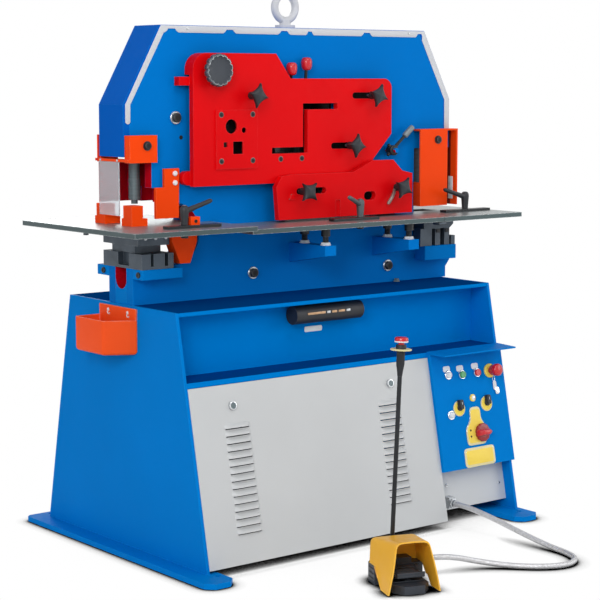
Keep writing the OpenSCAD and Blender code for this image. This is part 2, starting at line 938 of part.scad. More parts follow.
// Fence bar on the table with the stud that slides in the table's slot
module fence_bar(i) {
  low = fence_z[i] + fence_gap;
  under = fence_z[i] - table_t;
  p = fence_xy[i];
  color(black) {
    block([p[0] + fence_span[i][0], p[1] - fence_w / 2, low],
      [p[0] + fence_span[i][1], p[1] + fence_w / 2, low + fence_h]);
    rod_z(p[0], p[1], fence_stud_r, under - 12, low + 1);
    rod_z(p[0], p[1], 11, under - 14, under - fence_gap);
  }
}

// Clamping lever on a fence bar: a hub with a raised arm
module fence_lever(i) {
  low = fence_z[i] + 2 * fence_gap + fence_h;
  p = fence_xy[i];
  color(black)
    translate([p[0], p[1], low])
      rotate([0, 0, fence_arm_turn[i]]) {
        cylinder(r1 = 11, r2 = 13, h = 46);
        translate([0, 0, 46 - eps])
          cylinder(r1 = 13, r2 = 8, h = 12);
        translate([0, 0, 40])
          rotate([0, 73, 0])
            cylinder(r1 = 8, r2 = 6.5, h = 102);
      }
}

// Fixed fittings of the control panel: bezels, plates, discs and lamps
module panel_fittings() {
  color(yellow) {
    for (p = [green_at, red_at])
      on_panel(p)
        difference() {
          cylinder(r = 15, h = 8);
          translate([0, 0, -1])
            cylinder(r = button_r + 0.5, h = 10);
        }
    on_panel(stop_at)
      difference() {
        cylinder(r = 23, h = 8);
        translate([0, 0, -1])
          cylinder(r = 9.5, h = 10);
      }
    for (p = [left_turn_at, right_turn_at])
      on_panel(p)
        cylinder(r = 25, h = 3);
    for (p = [lamp_at, white_lamp_at])
      on_panel(p) {
        cylinder(r = 15, h = 5);
        cylinder(r = 11, h = 12);
      }
    on_panel(small_lamp_at)
      cylinder(r = 10, h = 8);
    on_panel(main_at)
      linear_extrude(4) {
        rect([-66, -37], [18, 30]);
        rect([-41, 29], [5, 86]);
      }
    on_panel([477, 210])
      linear_extrude(2)
        rect([-67, -30], [67, 30]);
  }
}

module push_button(at, paint) {
  color(paint)
    on_panel(at)
      translate([0, 0, 4.6])
        cylinder(r = button_r, h = 8);
}

// Mushroom stop button that is pushed into its base
module panel_estop() {
  color(red)
    on_panel(stop_at) {
      translate([0, 0, 5.6])
        cylinder(r = 9, h = 14);
      translate([0, 0, 16])
        cylinder(r = stop_r, h = 27);
      translate([0, 0, 43 - eps])
        cylinder(r1 = stop_r, r2 = stop_r - 6, h = 7);
    }
}

// Rotary selector with a grip bar
module selector(at) {
  color(black)
    on_panel(at)
      translate([0, 0, 3.4]) {
        cylinder(r = 11, h = 6);
        block([-8, -6, 0.6], [8, 25, 15]);
      }
}

// Main switch handle
module main_switch() {
  color(red)
    on_panel(main_at)
      translate([0, 0, 4.4]) {
        cylinder(r = 30, h = 10);
        block([-30, -9, 9], [30, 9, 26]);
      }
}

// Quarter-turn lock of the louvred cover with its latch tongue behind the sheet
module cover_lock(x) {
  color(steel)
    on_slope() {
      rod_y(x, up_slope(lock_z), 13, -9, -2.4);
      rod_y(x, up_slope(lock_z), 9, -3, 12);
      block([x - 7, 6, up_slope(lock_z) - 7], [x + 7, 10, up_slope(lock_z) + 36]);
    }
}

// Cable gland on the lower cover, with a level nose for the conduit
module hose_gland() {
  color(steel) {
    difference() {
      block([gland_x - 13, gland_front, gland_z - 18], [gland_x + 13, -380, gland_z + 18]);
      on_slope()
        block([cover_right, low_cover_back, 0], [inner_x, 120, 200]);
    }
    rod_y(gland_x, gland_z, 13, gland_nose, gland_front + 1);
  }
}

// Length along the route up to each of its points
hose_steps = [for (i = [1:len(hose_route) - 1]) norm(hose_route[i] - hose_route[i - 1])];
function length_to(i) = i == 0 ? 0 : hose_steps[i - 1] + length_to(i - 1);
hose_table = [for (i = [0:len(hose_route) - 1]) [length_to(i), i]];
hose_len = length_to(len(hose_route) - 1);

// Route point, with the ends carried on in a straight line
function route_at(i) =
  i < 0 ? 2 * hose_route[0] - hose_route[1] :
  i >= len(hose_route) ? 2 * hose_route[len(hose_route) - 1] - hose_route[len(hose_route) - 2] :
  hose_route[i];

// Smooth curve through the route at index i and fraction t
function curve(i, t) =
  let (a = route_at(i - 1), b = route_at(i), c = route_at(i + 1), d = route_at(i + 2))
  0.5 * (2 * b + (c - a) * t + (2 * a - 5 * b + 4 * c - d) * t * t
    + (3 * b - a - 3 * c + d) * t * t * t);

// Point of the conduit's middle line at a length along it
function hose_point(s) =
  let (u = lookup(s, hose_table), i = min(floor(u), len(hose_route) - 2))
  curve(i, u - i);

// Direction of the middle line at a length along it
function hose_way(s) =
  let (d = hose_point(min(s + 1, hose_len)) - hose_point(max(s - 1, 0)))
  d / norm(d);

// Ring of points round the middle line
function hose_ring(s, r) =
  let (way = hose_way(s), side = cross(way, [0, 0, 1]) / norm(cross(way, [0, 0, 1])),
    up = cross(side, way), mid = hose_point(s))
  [for (k = [0:hose_sides - 1])
    mid + r * (cos(360 * k / hose_sides) * side + sin(360 * k / hose_sides) * up)];

// Two triangles for each side between rings a and b
function band(a, b) = [for (k = [0:hose_sides - 1])
  let (n = (k + 1) % hose_sides)
  each [[a + k, a + n, b + n], [a + k, b + n, b + k]]];

// Ribbed conduit: one closed tube with a crest and a valley for each rib, and a bore
module conduit_hose() {
  rings = 2 * rib_count + 1;
  outer = [for (i = [0:rings - 1])
    each hose_ring(hose_len * i / (rings - 1), i % 2 == 0 ? hose_valley_r : hose_r)];
  inner = [for (i = [0:bore_rings]) each hose_ring(hose_len * i / bore_rings, hose_bore_r)];
  first = rings * hose_sides;
  last_out = (rings - 1) * hose_sides;
  last_in = first + bore_rings * hose_sides;
  faces = concat(
    [for (i = [0:rings - 2]) each band(i * hose_sides, (i + 1) * hose_sides)],
    [for (i = [0:bore_rings - 1]) each band(first + (i + 1) * hose_sides, first + i * hose_sides)],
    band(first, 0),
    band(last_out, last_in));
  color(steel)
    polyhedron(points = concat(outer, inner), faces = faces);
}

// Floor plate of the foot switch with its housing, hinge lugs, hinge pin and conduit port
module pedal_base() {
  color(black)
    on_pedal() {
      across_z(0, 24)
        polygon([[-30, -2], [30, -2], [54, 30], [54, 123], [-54, 123], [-54, 30]]);
      across_z(0, 56)
        polygon([[-74, 122], [74, 122], [74, 172], [50, 205], [-50, 205], [-74, 172]]);
      block([-40, 124, 55], [40, 204, 72]);
      for (x = [-54, 45])
        block([x, 104, 23], [x + 9, 120, 53]);
      rod_x(pedal_hinge[1], pedal_hinge[2], pedal_pin_r, -50, 50);
      rod_x(port_y, port_z, 13, 50, port_end);
    }
}

// Form of the foot guard between two depths, drawn in by a wall thickness
module guard_form(y0, y1, low, wall) {
  hull() {
    across_y(y0, y0 + eps)
      polygon([[wall - 80, low], [wall - 52, 133], [wall - 46, 147 - wall], [46 - wall, 147 - wall],
        [52 - wall, 133], [80 - wall, low]]);
    across_y(y1 - eps, y1)
      polygon([[wall - 76, low], [wall - 72, 118], [wall - 62, 128 - wall], [62 - wall, 128 - wall],
        [72 - wall, 118], [76 - wall, low]]);
  }
}

// Flared guard over the pedal: open at the front, standing on the switch body at the back
module pedal_guard() {
  deep = 168;
  wall = 5;
  color(yellow)
    on_pedal()
      difference() {
        guard_form(0, deep, 3, 0);
        guard_form(-1, deep - wall, 2, wall);
        across_x(-90, 90)
          polygon([[61, 0], [61, 6], [104, 42], [118, 56], [deep + 1, 56], [deep + 1, 0]]);
        block([-60, 150, 0], [60, deep + 1, 72]);
        across_x(-90, 90)
          polygon([[-2, 60], [-2, 160], [18, 160]]);
      }
}

// Treadle on the hinge pin
module foot_pedal() {
  color(dark_steel)
    on_pedal()
      difference() {
        union() {
          block([-42, 26, 40], [42, pedal_hinge[1], 50]);
          rod_x(pedal_hinge[1], pedal_hinge[2], 7, -42, 42);
          block([-42, 26, 45], [42, 32, 56]);
        }
        rod_x(pedal_hinge[1], pedal_hinge[2], pedal_pin_r + run_gap, -43, 43);
      }
}

// Post on the foot switch with its sleeve, collar disc and the socket of the stop head
module estop_post() {
  color(black) {
    translate(post_foot)
      cylinder(r = 14, h = 14);
    on_post()
      difference() {
        union() {
          translate([0, 0, 8])
            cylinder(r = post_r, h = 520);
          translate([0, 0, 524])
            cylinder(r1 = 7.5, r2 = 12, h = 21);
          translate([0, 0, 545 - eps])
            cylinder(r = 12, h = 44);
          translate([0, 0, 588])
            cylinder(r = 31, h = 4);
          translate([0, 0, 591])
            cylinder(r = 15, h = 13);
        }
        translate([0, 0, 590])
          cylinder(r = 9, h = 20);
      }
  }
}

module post_estop() {
  color(red)
    on_post() {
      translate([0, 0, 597])
        cylinder(r = 8.6, h = 14);
      translate([0, 0, 610])
        cylinder(r1 = stop_r, r2 = stop_r - 2, h = 16);
    }
}

left_side_panel();
right_side_panel();
rear_panel();
top_deck();
front_cover();
lower_cover();
control_box();
slug_tray();
tool_tube();
power_pack();
on_frame() frame_front_plate();
on_frame() frame_rear_plate();
on_frame() end_hood();
on_frame() eye_bolt();
on_frame() machine_bolts();
on_frame() frame_spacers();
on_frame() punch_ram();
on_frame() shear_rod();
on_frame() shear_beam();
on_frame() die_bases();
on_frame() die_blocks();
on_frame() work_table();
on_frame() punch_guard();
on_frame() guard_window();
on_frame() punch_stripper();
on_frame() notch_guard();
on_frame() holddown_plate();
on_frame() bar_shear_plate();
on_frame() shear_holddown();
on_frame() round_knob();
on_frame() star_knob(star_at[0], red_y0, 12);  // star_knob_1
on_frame() star_knob(star_at[1], red_y0, 20);  // star_knob_2
on_frame() star_knob(star_at[2], red_y0, 8);  // star_knob_3
on_frame() star_knob(star_at[3], low_red_y0, 45);  // star_knob_4
on_frame() star_knob(star_at[4], low_red_y0, 30);  // star_knob_5
on_frame() ball_lever(ball_at[0]);  // ball_lever_1
on_frame() ball_lever(ball_at[1]);  // ball_lever_2
on_frame() clamp_handle();
on_frame() fence_bar(0);  // fence_bar_1
on_frame() fence_bar(1);  // fence_bar_2
on_frame() fence_bar(2);  // fence_bar_3
on_frame() fence_lever(0);  // fence_lever_1
on_frame() fence_lever(1);  // fence_lever_2
on_frame() fence_lever(2);  // fence_lever_3
panel_fittings();
push_button(green_at, "green");  // green_button
push_button(red_at, "red");  // red_button
panel_estop();
selector(left_turn_at);  // selector_left
selector(right_turn_at);  // selector_right
main_switch();
cover_lock(lock_x[0]);  // cover_lock_left
cover_lock(lock_x[1]);  // cover_lock_right
hose_gland();
conduit_hose();
pedal_base();
pedal_guard();
foot_pedal();
estop_post();
post_estop();
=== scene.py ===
from math import atan, cos, pi, radians, sin
import bmesh
import bpy
from mathutils import Matrix, Vector


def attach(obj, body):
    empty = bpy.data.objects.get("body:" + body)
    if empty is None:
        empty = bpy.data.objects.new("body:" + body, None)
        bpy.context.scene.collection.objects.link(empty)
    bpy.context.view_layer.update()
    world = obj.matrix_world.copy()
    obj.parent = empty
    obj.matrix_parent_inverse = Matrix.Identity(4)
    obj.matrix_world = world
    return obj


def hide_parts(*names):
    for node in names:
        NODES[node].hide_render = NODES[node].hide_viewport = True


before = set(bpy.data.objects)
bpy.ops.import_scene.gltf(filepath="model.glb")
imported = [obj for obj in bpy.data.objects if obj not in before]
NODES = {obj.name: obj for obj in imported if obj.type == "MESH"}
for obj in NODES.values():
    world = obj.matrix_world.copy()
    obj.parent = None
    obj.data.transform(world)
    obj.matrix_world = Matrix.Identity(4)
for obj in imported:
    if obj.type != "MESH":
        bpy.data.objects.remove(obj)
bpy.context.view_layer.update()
MM = 0.001
scene = bpy.context.scene

# Camera at the photograph's place, in metres and degrees
CAMERA_PLACE = (-3.4504, -4.42, 1.4206)
CAMERA_PITCH, CAMERA_YAW = 82.86, -38.46
cam_data = bpy.data.cameras.new("photo_camera")
cam_data.lens = 104.8
cam_data.sensor_width = 36
cam_data.clip_end = 100
camera = bpy.data.objects.new("photo_camera", cam_data)
camera.location = CAMERA_PLACE
camera.rotation_euler = (radians(CAMERA_PITCH), 0, radians(CAMERA_YAW))
scene.collection.objects.link(camera)
scene.camera = camera

# Slope of the cabinet's front, in millimetres like every length of a piece
LEAN_RUN, LEAN_RISE = 150, 740
LEAN = atan(LEAN_RUN / LEAN_RISE)
SIN, COS = sin(LEAN), cos(LEAN)
FOOT_Y, FOOT_Z = -442, 16
PANEL_PROUD = 14

# Faces along Y of the frame plates and the red plates, about the frame's own axes
FRAME_PLACE = (-28, -36, 0)
FRONT_FACE, REAR_FACE = -28, 104
RED_FACE, RAISED_FACE, LOW_RED_FACE = -72, -78, -96


def linear(c):
    c = c / 255
    return c / 12.92 if c <= 0.04045 else ((c + 0.055) / 1.055) ** 2.4


def srgb(r, g, b):
    return (linear(r), linear(g), linear(b), 1)


def tint(rgb, k):
    return tuple(min(1, max(0, c * k)) for c in rgb[:3]) + (1,)


def add(tree, kind):
    return tree.nodes.new("ShaderNode" + kind)


def noise(tree, scale, detail, source):
    node = add(tree, "TexNoise")
    node.inputs["Scale"].default_value = scale
    node.inputs["Detail"].default_value = detail
    tree.links.new(source, node.inputs["Vector"])
    return node.outputs["Fac"]


def ramp(tree, value, low, high, to_low, to_high):
    """Carries a value from one span to another and holds it at both ends."""
    node = add(tree, "MapRange")
    for i, x in enumerate((low, high, to_low, to_high), 1):
        node.inputs[i].default_value = x
    tree.links.new(value, node.inputs[0])
    return node.outputs[0]


def combine(tree, operation, a, b):
    node = add(tree, "Math")
    node.operation = operation
    tree.links.new(a, node.inputs[0])
    tree.links.new(b, node.inputs[1])
    return node.outputs[0]


# Shared by all materials: roughness, noise scales per metre, and the grain's depth in metres
ROUGH_VARY, COAT_ROUGH = 0.08, 0.15
PATCH_SCALE, SCUFF_SCALE, GRAIN_DEPTH = 60, 38, 0.0006


def surface(name, rgb, rough=0.4, metal=0.0, vary=0.08, scale=5, grain=700, bump=0.05,
            stretch=(1, 1, 1), edge=None, edge_size=0.0025, coat=0.0, bands=(), spec=0.4):
    """A material with broad colour variation, grain in its bump and roughness, and paler edges in patches
    that stand partly for wear and partly for a painted highlight.
    bands holds (tests, colour) and paints another colour where each (source, axis, low, high) test holds;
    a source is "at", the place in the model, or "normal", the way the face points."""
    rgb = srgb(*rgb)
    mat = bpy.data.materials.new(name)
    mat.use_nodes = True
    nt = mat.node_tree
    nt.nodes.clear()
    link = nt.links.new
    out = add(nt, "OutputMaterial")
    bsdf = add(nt, "BsdfPrincipled")
    link(bsdf.outputs[0], out.inputs[0])
    bsdf.inputs["Metallic"].default_value = metal
    bsdf.inputs["Specular IOR Level"].default_value = spec
    if coat:
        bsdf.inputs["Coat Weight"].default_value = coat
        bsdf.inputs["Coat Roughness"].default_value = COAT_ROUGH
    place = add(nt, "TexCoord").outputs["Object"]
    mapping = add(nt, "Mapping")
    mapping.inputs["Scale"].default_value = stretch
    link(place, mapping.inputs[0])
    drawn = mapping.outputs[0]
    geo = add(nt, "NewGeometry")

    def mix(fac, a, b):
        m = add(nt, "Mix")
        m.data_type = "RGBA"
        link(fac, m.inputs["Factor"])
        for socket, x in ((m.inputs[6], a), (m.inputs[7], b)):
            if isinstance(x, tuple):
                socket.default_value = x
            else:
                link(x, socket)
        return m.outputs[2]

    # Broad variation, then the bands
    broad = ramp(nt, noise(nt, scale, 4, drawn), 0.3, 0.7, 0, 1)
    colour = mix(broad, tint(rgb, 1 - vary), tint(rgb, 1 + vary * 0.7))
    parts = {}
    for source, socket in (("at", place), ("normal", geo.outputs["True Normal"])):
        parts[source] = add(nt, "SeparateXYZ")
        link(socket, parts[source].inputs[0])
    for tests, paint in bands:
        share = None
        for source, axis, low, high in tests:
            over = add(nt, "Math")
            over.operation = "COMPARE"
            link(parts[source].outputs[axis], over.inputs[0])
            over.inputs[1].default_value = (low + high) / 2
            over.inputs[2].default_value = (high - low) / 2
            inside = over.outputs[0]
            share = inside if share is None else combine(nt, "MULTIPLY", share, inside)
        colour = mix(share, colour, srgb(*paint))

    # Edges: a paler colour in patches, partly wear and partly a painted highlight
    if edge:
        bevel = add(nt, "Bevel")
        bevel.samples = 4
        bevel.inputs["Radius"].default_value = edge_size
        dot = add(nt, "VectorMath")
        dot.operation = "DOT_PRODUCT"
        link(bevel.outputs[0], dot.inputs[0])
        link(geo.outputs["Normal"], dot.inputs[1])
        wear_and_highlight = ramp(nt, dot.outputs["Value"], 0.985, 0.86, 0, 0.75)
        patch = ramp(nt, noise(nt, PATCH_SCALE, 3, place), 0.35, 0.6, 0.25, 1)
        colour = mix(combine(nt, "MULTIPLY", wear_and_highlight, patch), colour, srgb(*edge))
    link(colour, bsdf.inputs["Base Color"])

    # Scuffs in the roughness and grain in the bump
    low, high = max(0.03, rough - ROUGH_VARY), min(1, rough + ROUGH_VARY)
    link(ramp(nt, noise(nt, SCUFF_SCALE, 4, drawn), 0.3, 0.7, low, high), bsdf.inputs["Roughness"])
    relief = add(nt, "Bump")
    relief.inputs["Strength"].default_value = bump
    relief.inputs["Distance"].default_value = GRAIN_DEPTH
    link(noise(nt, grain, 2, drawn), relief.inputs["Height"])
    link(relief.outputs[0], bsdf.inputs["Normal"])
    return mat


BLUE = (0, 126, 211)
# Painted shade: darker blue for the upward faces of the deck and shelf
SHADED_TOP_NAVY = (0, 69, 136)
RED = (227, 6, 14)
ORANGE = (255, 72, 10)
INSIDE = (190, 8, 30)

# Tests for the bands: directions without a unit, places in metres
UP = ("normal", 2, 0.8, 1.1)
UPRIGHT = ("normal", 2, -0.6, 0.6)
TO_LEFT = ("normal", 0, -1.1, -0.5)
THROAT = (TO_LEFT, ("at", 2, 1.0, 1.197))
FRONT_PLATE_BACK = (("at", 1, -0.0282, -0.016),)
REAR_PLATE_FRONT = (("at", 1, 0.0, 0.0322),)
GUARD_BACK = (("at", 1, 0.0735, 0.0805),)
# Rear part of the notcher guard's inner wall: painted shade
NOTCHER_WALL_SHADE = (TO_LEFT, ("at", 0, 0.65, 0.66), ("at", 1, -0.071, 0.07))


def blue_paint(name, rgb, edge, rough=0.45, spec=0.015, **more):
    return surface(name, rgb, rough, vary=0.05, scale=2.5, edge=edge, spec=spec, **more)


def orange_paint(name, rgb=ORANGE, edge=(255, 140, 96), **more):
    return surface(name, rgb, 0.38, vary=0.05, edge=edge, spec=0.06, **more)


M = {
    "blue": blue_paint("blue_powder_coat", BLUE, (30, 150, 232), bump=0.06),
    # Deck blue, its upward faces painted darker as painted shade
    "blue_deck": blue_paint("blue_deck_coat_shaded_tops", BLUE, (20, 120, 205), 0.5, 0.0, bands=(((UP,), SHADED_TOP_NAVY),)),
    "blue_hood": blue_paint("blue_hood_coat", (0, 94, 192), (30, 135, 222), 0.42),
    "front_plate": blue_paint("blue_front_plate", (0, 118, 204), (30, 145, 225),
        bands=((FRONT_PLATE_BACK, INSIDE), (THROAT, INSIDE))),
    "rear_plate": blue_paint("blue_rear_plate", (0, 111, 197), (30, 140, 220),
        bands=((REAR_PLATE_FRONT, INSIDE), (THROAT, INSIDE))),
    "inside": surface("inside_red_paint", INSIDE, 0.45, scale=6, spec=0.05),
    "grey": surface("grey_powder_coat", (203, 205, 206), 0.45, vary=0.03, scale=3, edge=(226, 227, 228)),
    "trim": surface("light_grey_trim", (206, 208, 213), 0.4, vary=0.04, edge=(236, 237, 240)),
    "eye": surface("eye_grey_paint", (208, 209, 213), 0.4, vary=0.07, scale=30, edge=(236, 236, 238)),
    "red": surface("red_paint", RED, 0.38, vary=0.05, scale=4, edge=(242, 80, 84), spec=0.06),
    "orange": orange_paint("orange_paint"),
    # Tray orange lighter than the other orange parts: a lit copy as painted light, with a pale edge colour as
    # painted highlight
    "tray": orange_paint("lit_orange_tray_paint", (255, 88, 36), (255, 196, 176), edge_size=0.004),
    "guard": orange_paint("orange_guard_paint", bands=((GUARD_BACK, INSIDE),)),
    # Notcher guard orange, with painted shade on the rear of its inner wall
    "notch": orange_paint("orange_notcher_paint", bands=((NOTCHER_WALL_SHADE, (126, 36, 24)),)),
    "yellow": surface("yellow_plastic", (255, 222, 92), 0.4, vary=0.05, scale=12, grain=1400,
        edge=(255, 232, 150), edge_size=0.002, spec=0.25),
    "guard_yellow": surface("yellow_guard_plastic", (255, 188, 48), 0.36, vary=0.05, scale=9, grain=1300,
        bump=0.08, edge=(255, 218, 136), edge_size=0.003, spec=0.25),
    "black": surface("black_plastic", (37, 39, 44), 0.5, vary=0.18, scale=20, grain=1500, bump=0.1,
        edge=(98, 102, 108), edge_size=0.0015),
    "pedal": surface("black_switch_plastic", (52, 57, 65), 0.46, vary=0.15, scale=14, grain=1200,
        bump=0.12, edge=(98, 104, 112), edge_size=0.0015),
    "rubber": surface("black_rubber", (36, 38, 42), 0.72, vary=0.15, scale=18, grain=1600, bump=0.2),
    "dark": surface("dark_machined_steel", (78, 86, 94), 0.42, 0.55, vary=0.2, scale=14,
        stretch=(1, 1, 9), grain=220, bump=0.08, edge=(150, 156, 162)),
    "die": surface("blued_die_steel", (74, 84, 94), 0.45, 0.35, vary=0.22, scale=16, grain=420, bump=0.1,
        edge=(140, 150, 158)),
    "black_steel": surface("blackened_steel", (38, 40, 43), 0.4, 0.4, vary=0.2, scale=25, bump=0.1,
        edge=(105, 108, 112)),
    "ram": surface("ram_steel", (100, 114, 118), 0.38, 0.35, vary=0.14, scale=14, stretch=(1, 1, 9),
        grain=220, bump=0.06, edge=(160, 168, 172)),
    "pin": surface("bronzed_pin", (142, 122, 116), 0.36, 0.5, vary=0.15, scale=40, grain=500),
    # Handwheel rim: pale speckles and bright edges are painted glints
    "glinting_rim": surface("rim_painted_glints", (84, 90, 96), 0.3, 0.5, vary=0.5, scale=160, grain=900, bump=0.12,
        edge=(226, 232, 234), edge_size=0.004),
    # Table steel: upright faces painted darker as painted shade, and its pale edge colour a painted highlight
    # on the arris
    "table": surface("ground_table_steel", (150, 158, 158), 0.36, 0.6, vary=0.16, scale=7,
        stretch=(1, 16, 1), grain=160, edge=(226, 232, 232), edge_size=0.003,
        bands=(((UPRIGHT,), (72, 86, 88)),)),
    "steel": surface("zinc_plated_steel", (196, 199, 202), 0.3, 0.85, vary=0.12, scale=60, grain=500),
    "chrome": surface("chromed_bezel", (222, 225, 228), 0.16, 1.0, vary=0.05, scale=80, grain=900,
        bump=0.02),
    "handle": surface("grey_grip", (124, 134, 138), 0.42, 0.3, vary=0.12, scale=40, grain=900, bump=0.1,
        edge=(178, 184, 186)),
    "lever": surface("dark_grey_lever", (86, 94, 98), 0.42, 0.3, vary=0.12, scale=40, grain=900, bump=0.1,
        edge=(140, 146, 150)),
    "dull": surface("dull_washer", (128, 108, 104), 0.4, 0.5, vary=0.2, scale=60, grain=600),
    "hose": surface("galvanised_conduit", (206, 206, 208), 0.34, 0.6, vary=0.16, scale=120, grain=1200,
        bump=0.08),
    "white": surface("white_plate", (232, 234, 236), 0.4, vary=0.04, scale=40, grain=1200, bump=0.03),
    "lens": surface("white_lens", (222, 226, 230), 0.15, vary=0.06, scale=90, coat=0.6, bump=0.02),
    "green": surface("green_cap", (32, 150, 78), 0.25, scale=90, coat=0.4, bump=0.02),
    "red_cap": surface("red_cap", (206, 18, 32), 0.28, scale=60, coat=0.4, bump=0.03, edge=(240, 90, 90),
        edge_size=0.001),
    "red_dark": surface("dark_red_cap", (150, 10, 22), 0.3, scale=60, coat=0.3, bump=0.03,
        edge=(200, 70, 74), edge_size=0.001),
    "tan": surface("tan_steel", (196, 158, 122), 0.35, 0.5, vary=0.2, scale=60, grain=900),
    "collar": surface("pale_yellow_collar", (234, 222, 166), 0.4, vary=0.06, scale=40),
    # Near black: painted shade in screw sockets, a key recess, a small hole, small dots and behind two slots;
    # also the dark joint of the table seam
    "pit": surface("recess_shade_and_dark_joint", (16, 17, 19), 0.7, vary=0.2, scale=60),
}


def clear_sheet():
    """Clear sheet, slightly milky, with fine scratches."""
    mat = bpy.data.materials.new("clear_polycarbonate")
    mat.use_nodes = True
    nt = mat.node_tree
    bsdf = nt.nodes["Principled BSDF"]
    bsdf.inputs["Base Color"].default_value = srgb(240, 245, 250)
    bsdf.inputs["IOR"].default_value = 1.2
    bsdf.inputs["Transmission Weight"].default_value = 0.72
    place = add(nt, "TexCoord").outputs["Object"]
    nt.links.new(ramp(nt, noise(nt, 24, 5, place), 0.3, 0.7, 0.1, 0.26), bsdf.inputs["Roughness"])
    return mat


M["clear"] = clear_sheet()


# Frames that pieces are built in: local +Z points out of the face
def basis(x, y, z, at):
    m = Matrix((x, y, z)).transposed().to_4x4()
    m.translation = at
    return m


def front(x, y, z):
    return basis((1, 0, 0), (0, 0, 1), (0, -1, 0), (x, y, z))


def back(x, y, z):
    return basis((-1, 0, 0), (0, 0, 1), (0, 1, 0), (x, y, z))


def left(x, y, z):
    return basis((0, -1, 0), (0, 0, 1), (-1, 0, 0), (x, y, z))


def right(x, y, z):
    return basis((0, 1, 0), (0, 0, 1), (1, 0, 0), (x, y, z))


def top(x, y, z):
    return Matrix.Translation((x, y, z))


def slope(x, z, out):
    """On the sloping front: z is the height of the point itself, out its distance from the slope."""
    up = (z - out * SIN - FOOT_Z) / COS
    return basis((1, 0, 0), (0, SIN, COS), (0, -COS, SIN), (x, FOOT_Y - out * COS + up * SIN, z))


def rear_slope(x, z, out):
    up = (z - out * SIN - FOOT_Z) / COS
    return basis((-1, 0, 0), (0, -SIN, COS), (0, COS, SIN), (x, -FOOT_Y + out * COS - up * SIN, z))


def panel(x, z):
    return slope(x, z, PANEL_PROUD)


def turned(degrees, axis="Z"):
    return Matrix.Rotation(radians(degrees), 4, axis)


PEDAL = top(-257, -914, 0) @ turned(-20)
POST_FOOT = top(-191, -741, 72)
POST = POST_FOOT @ turned(3, "Y")


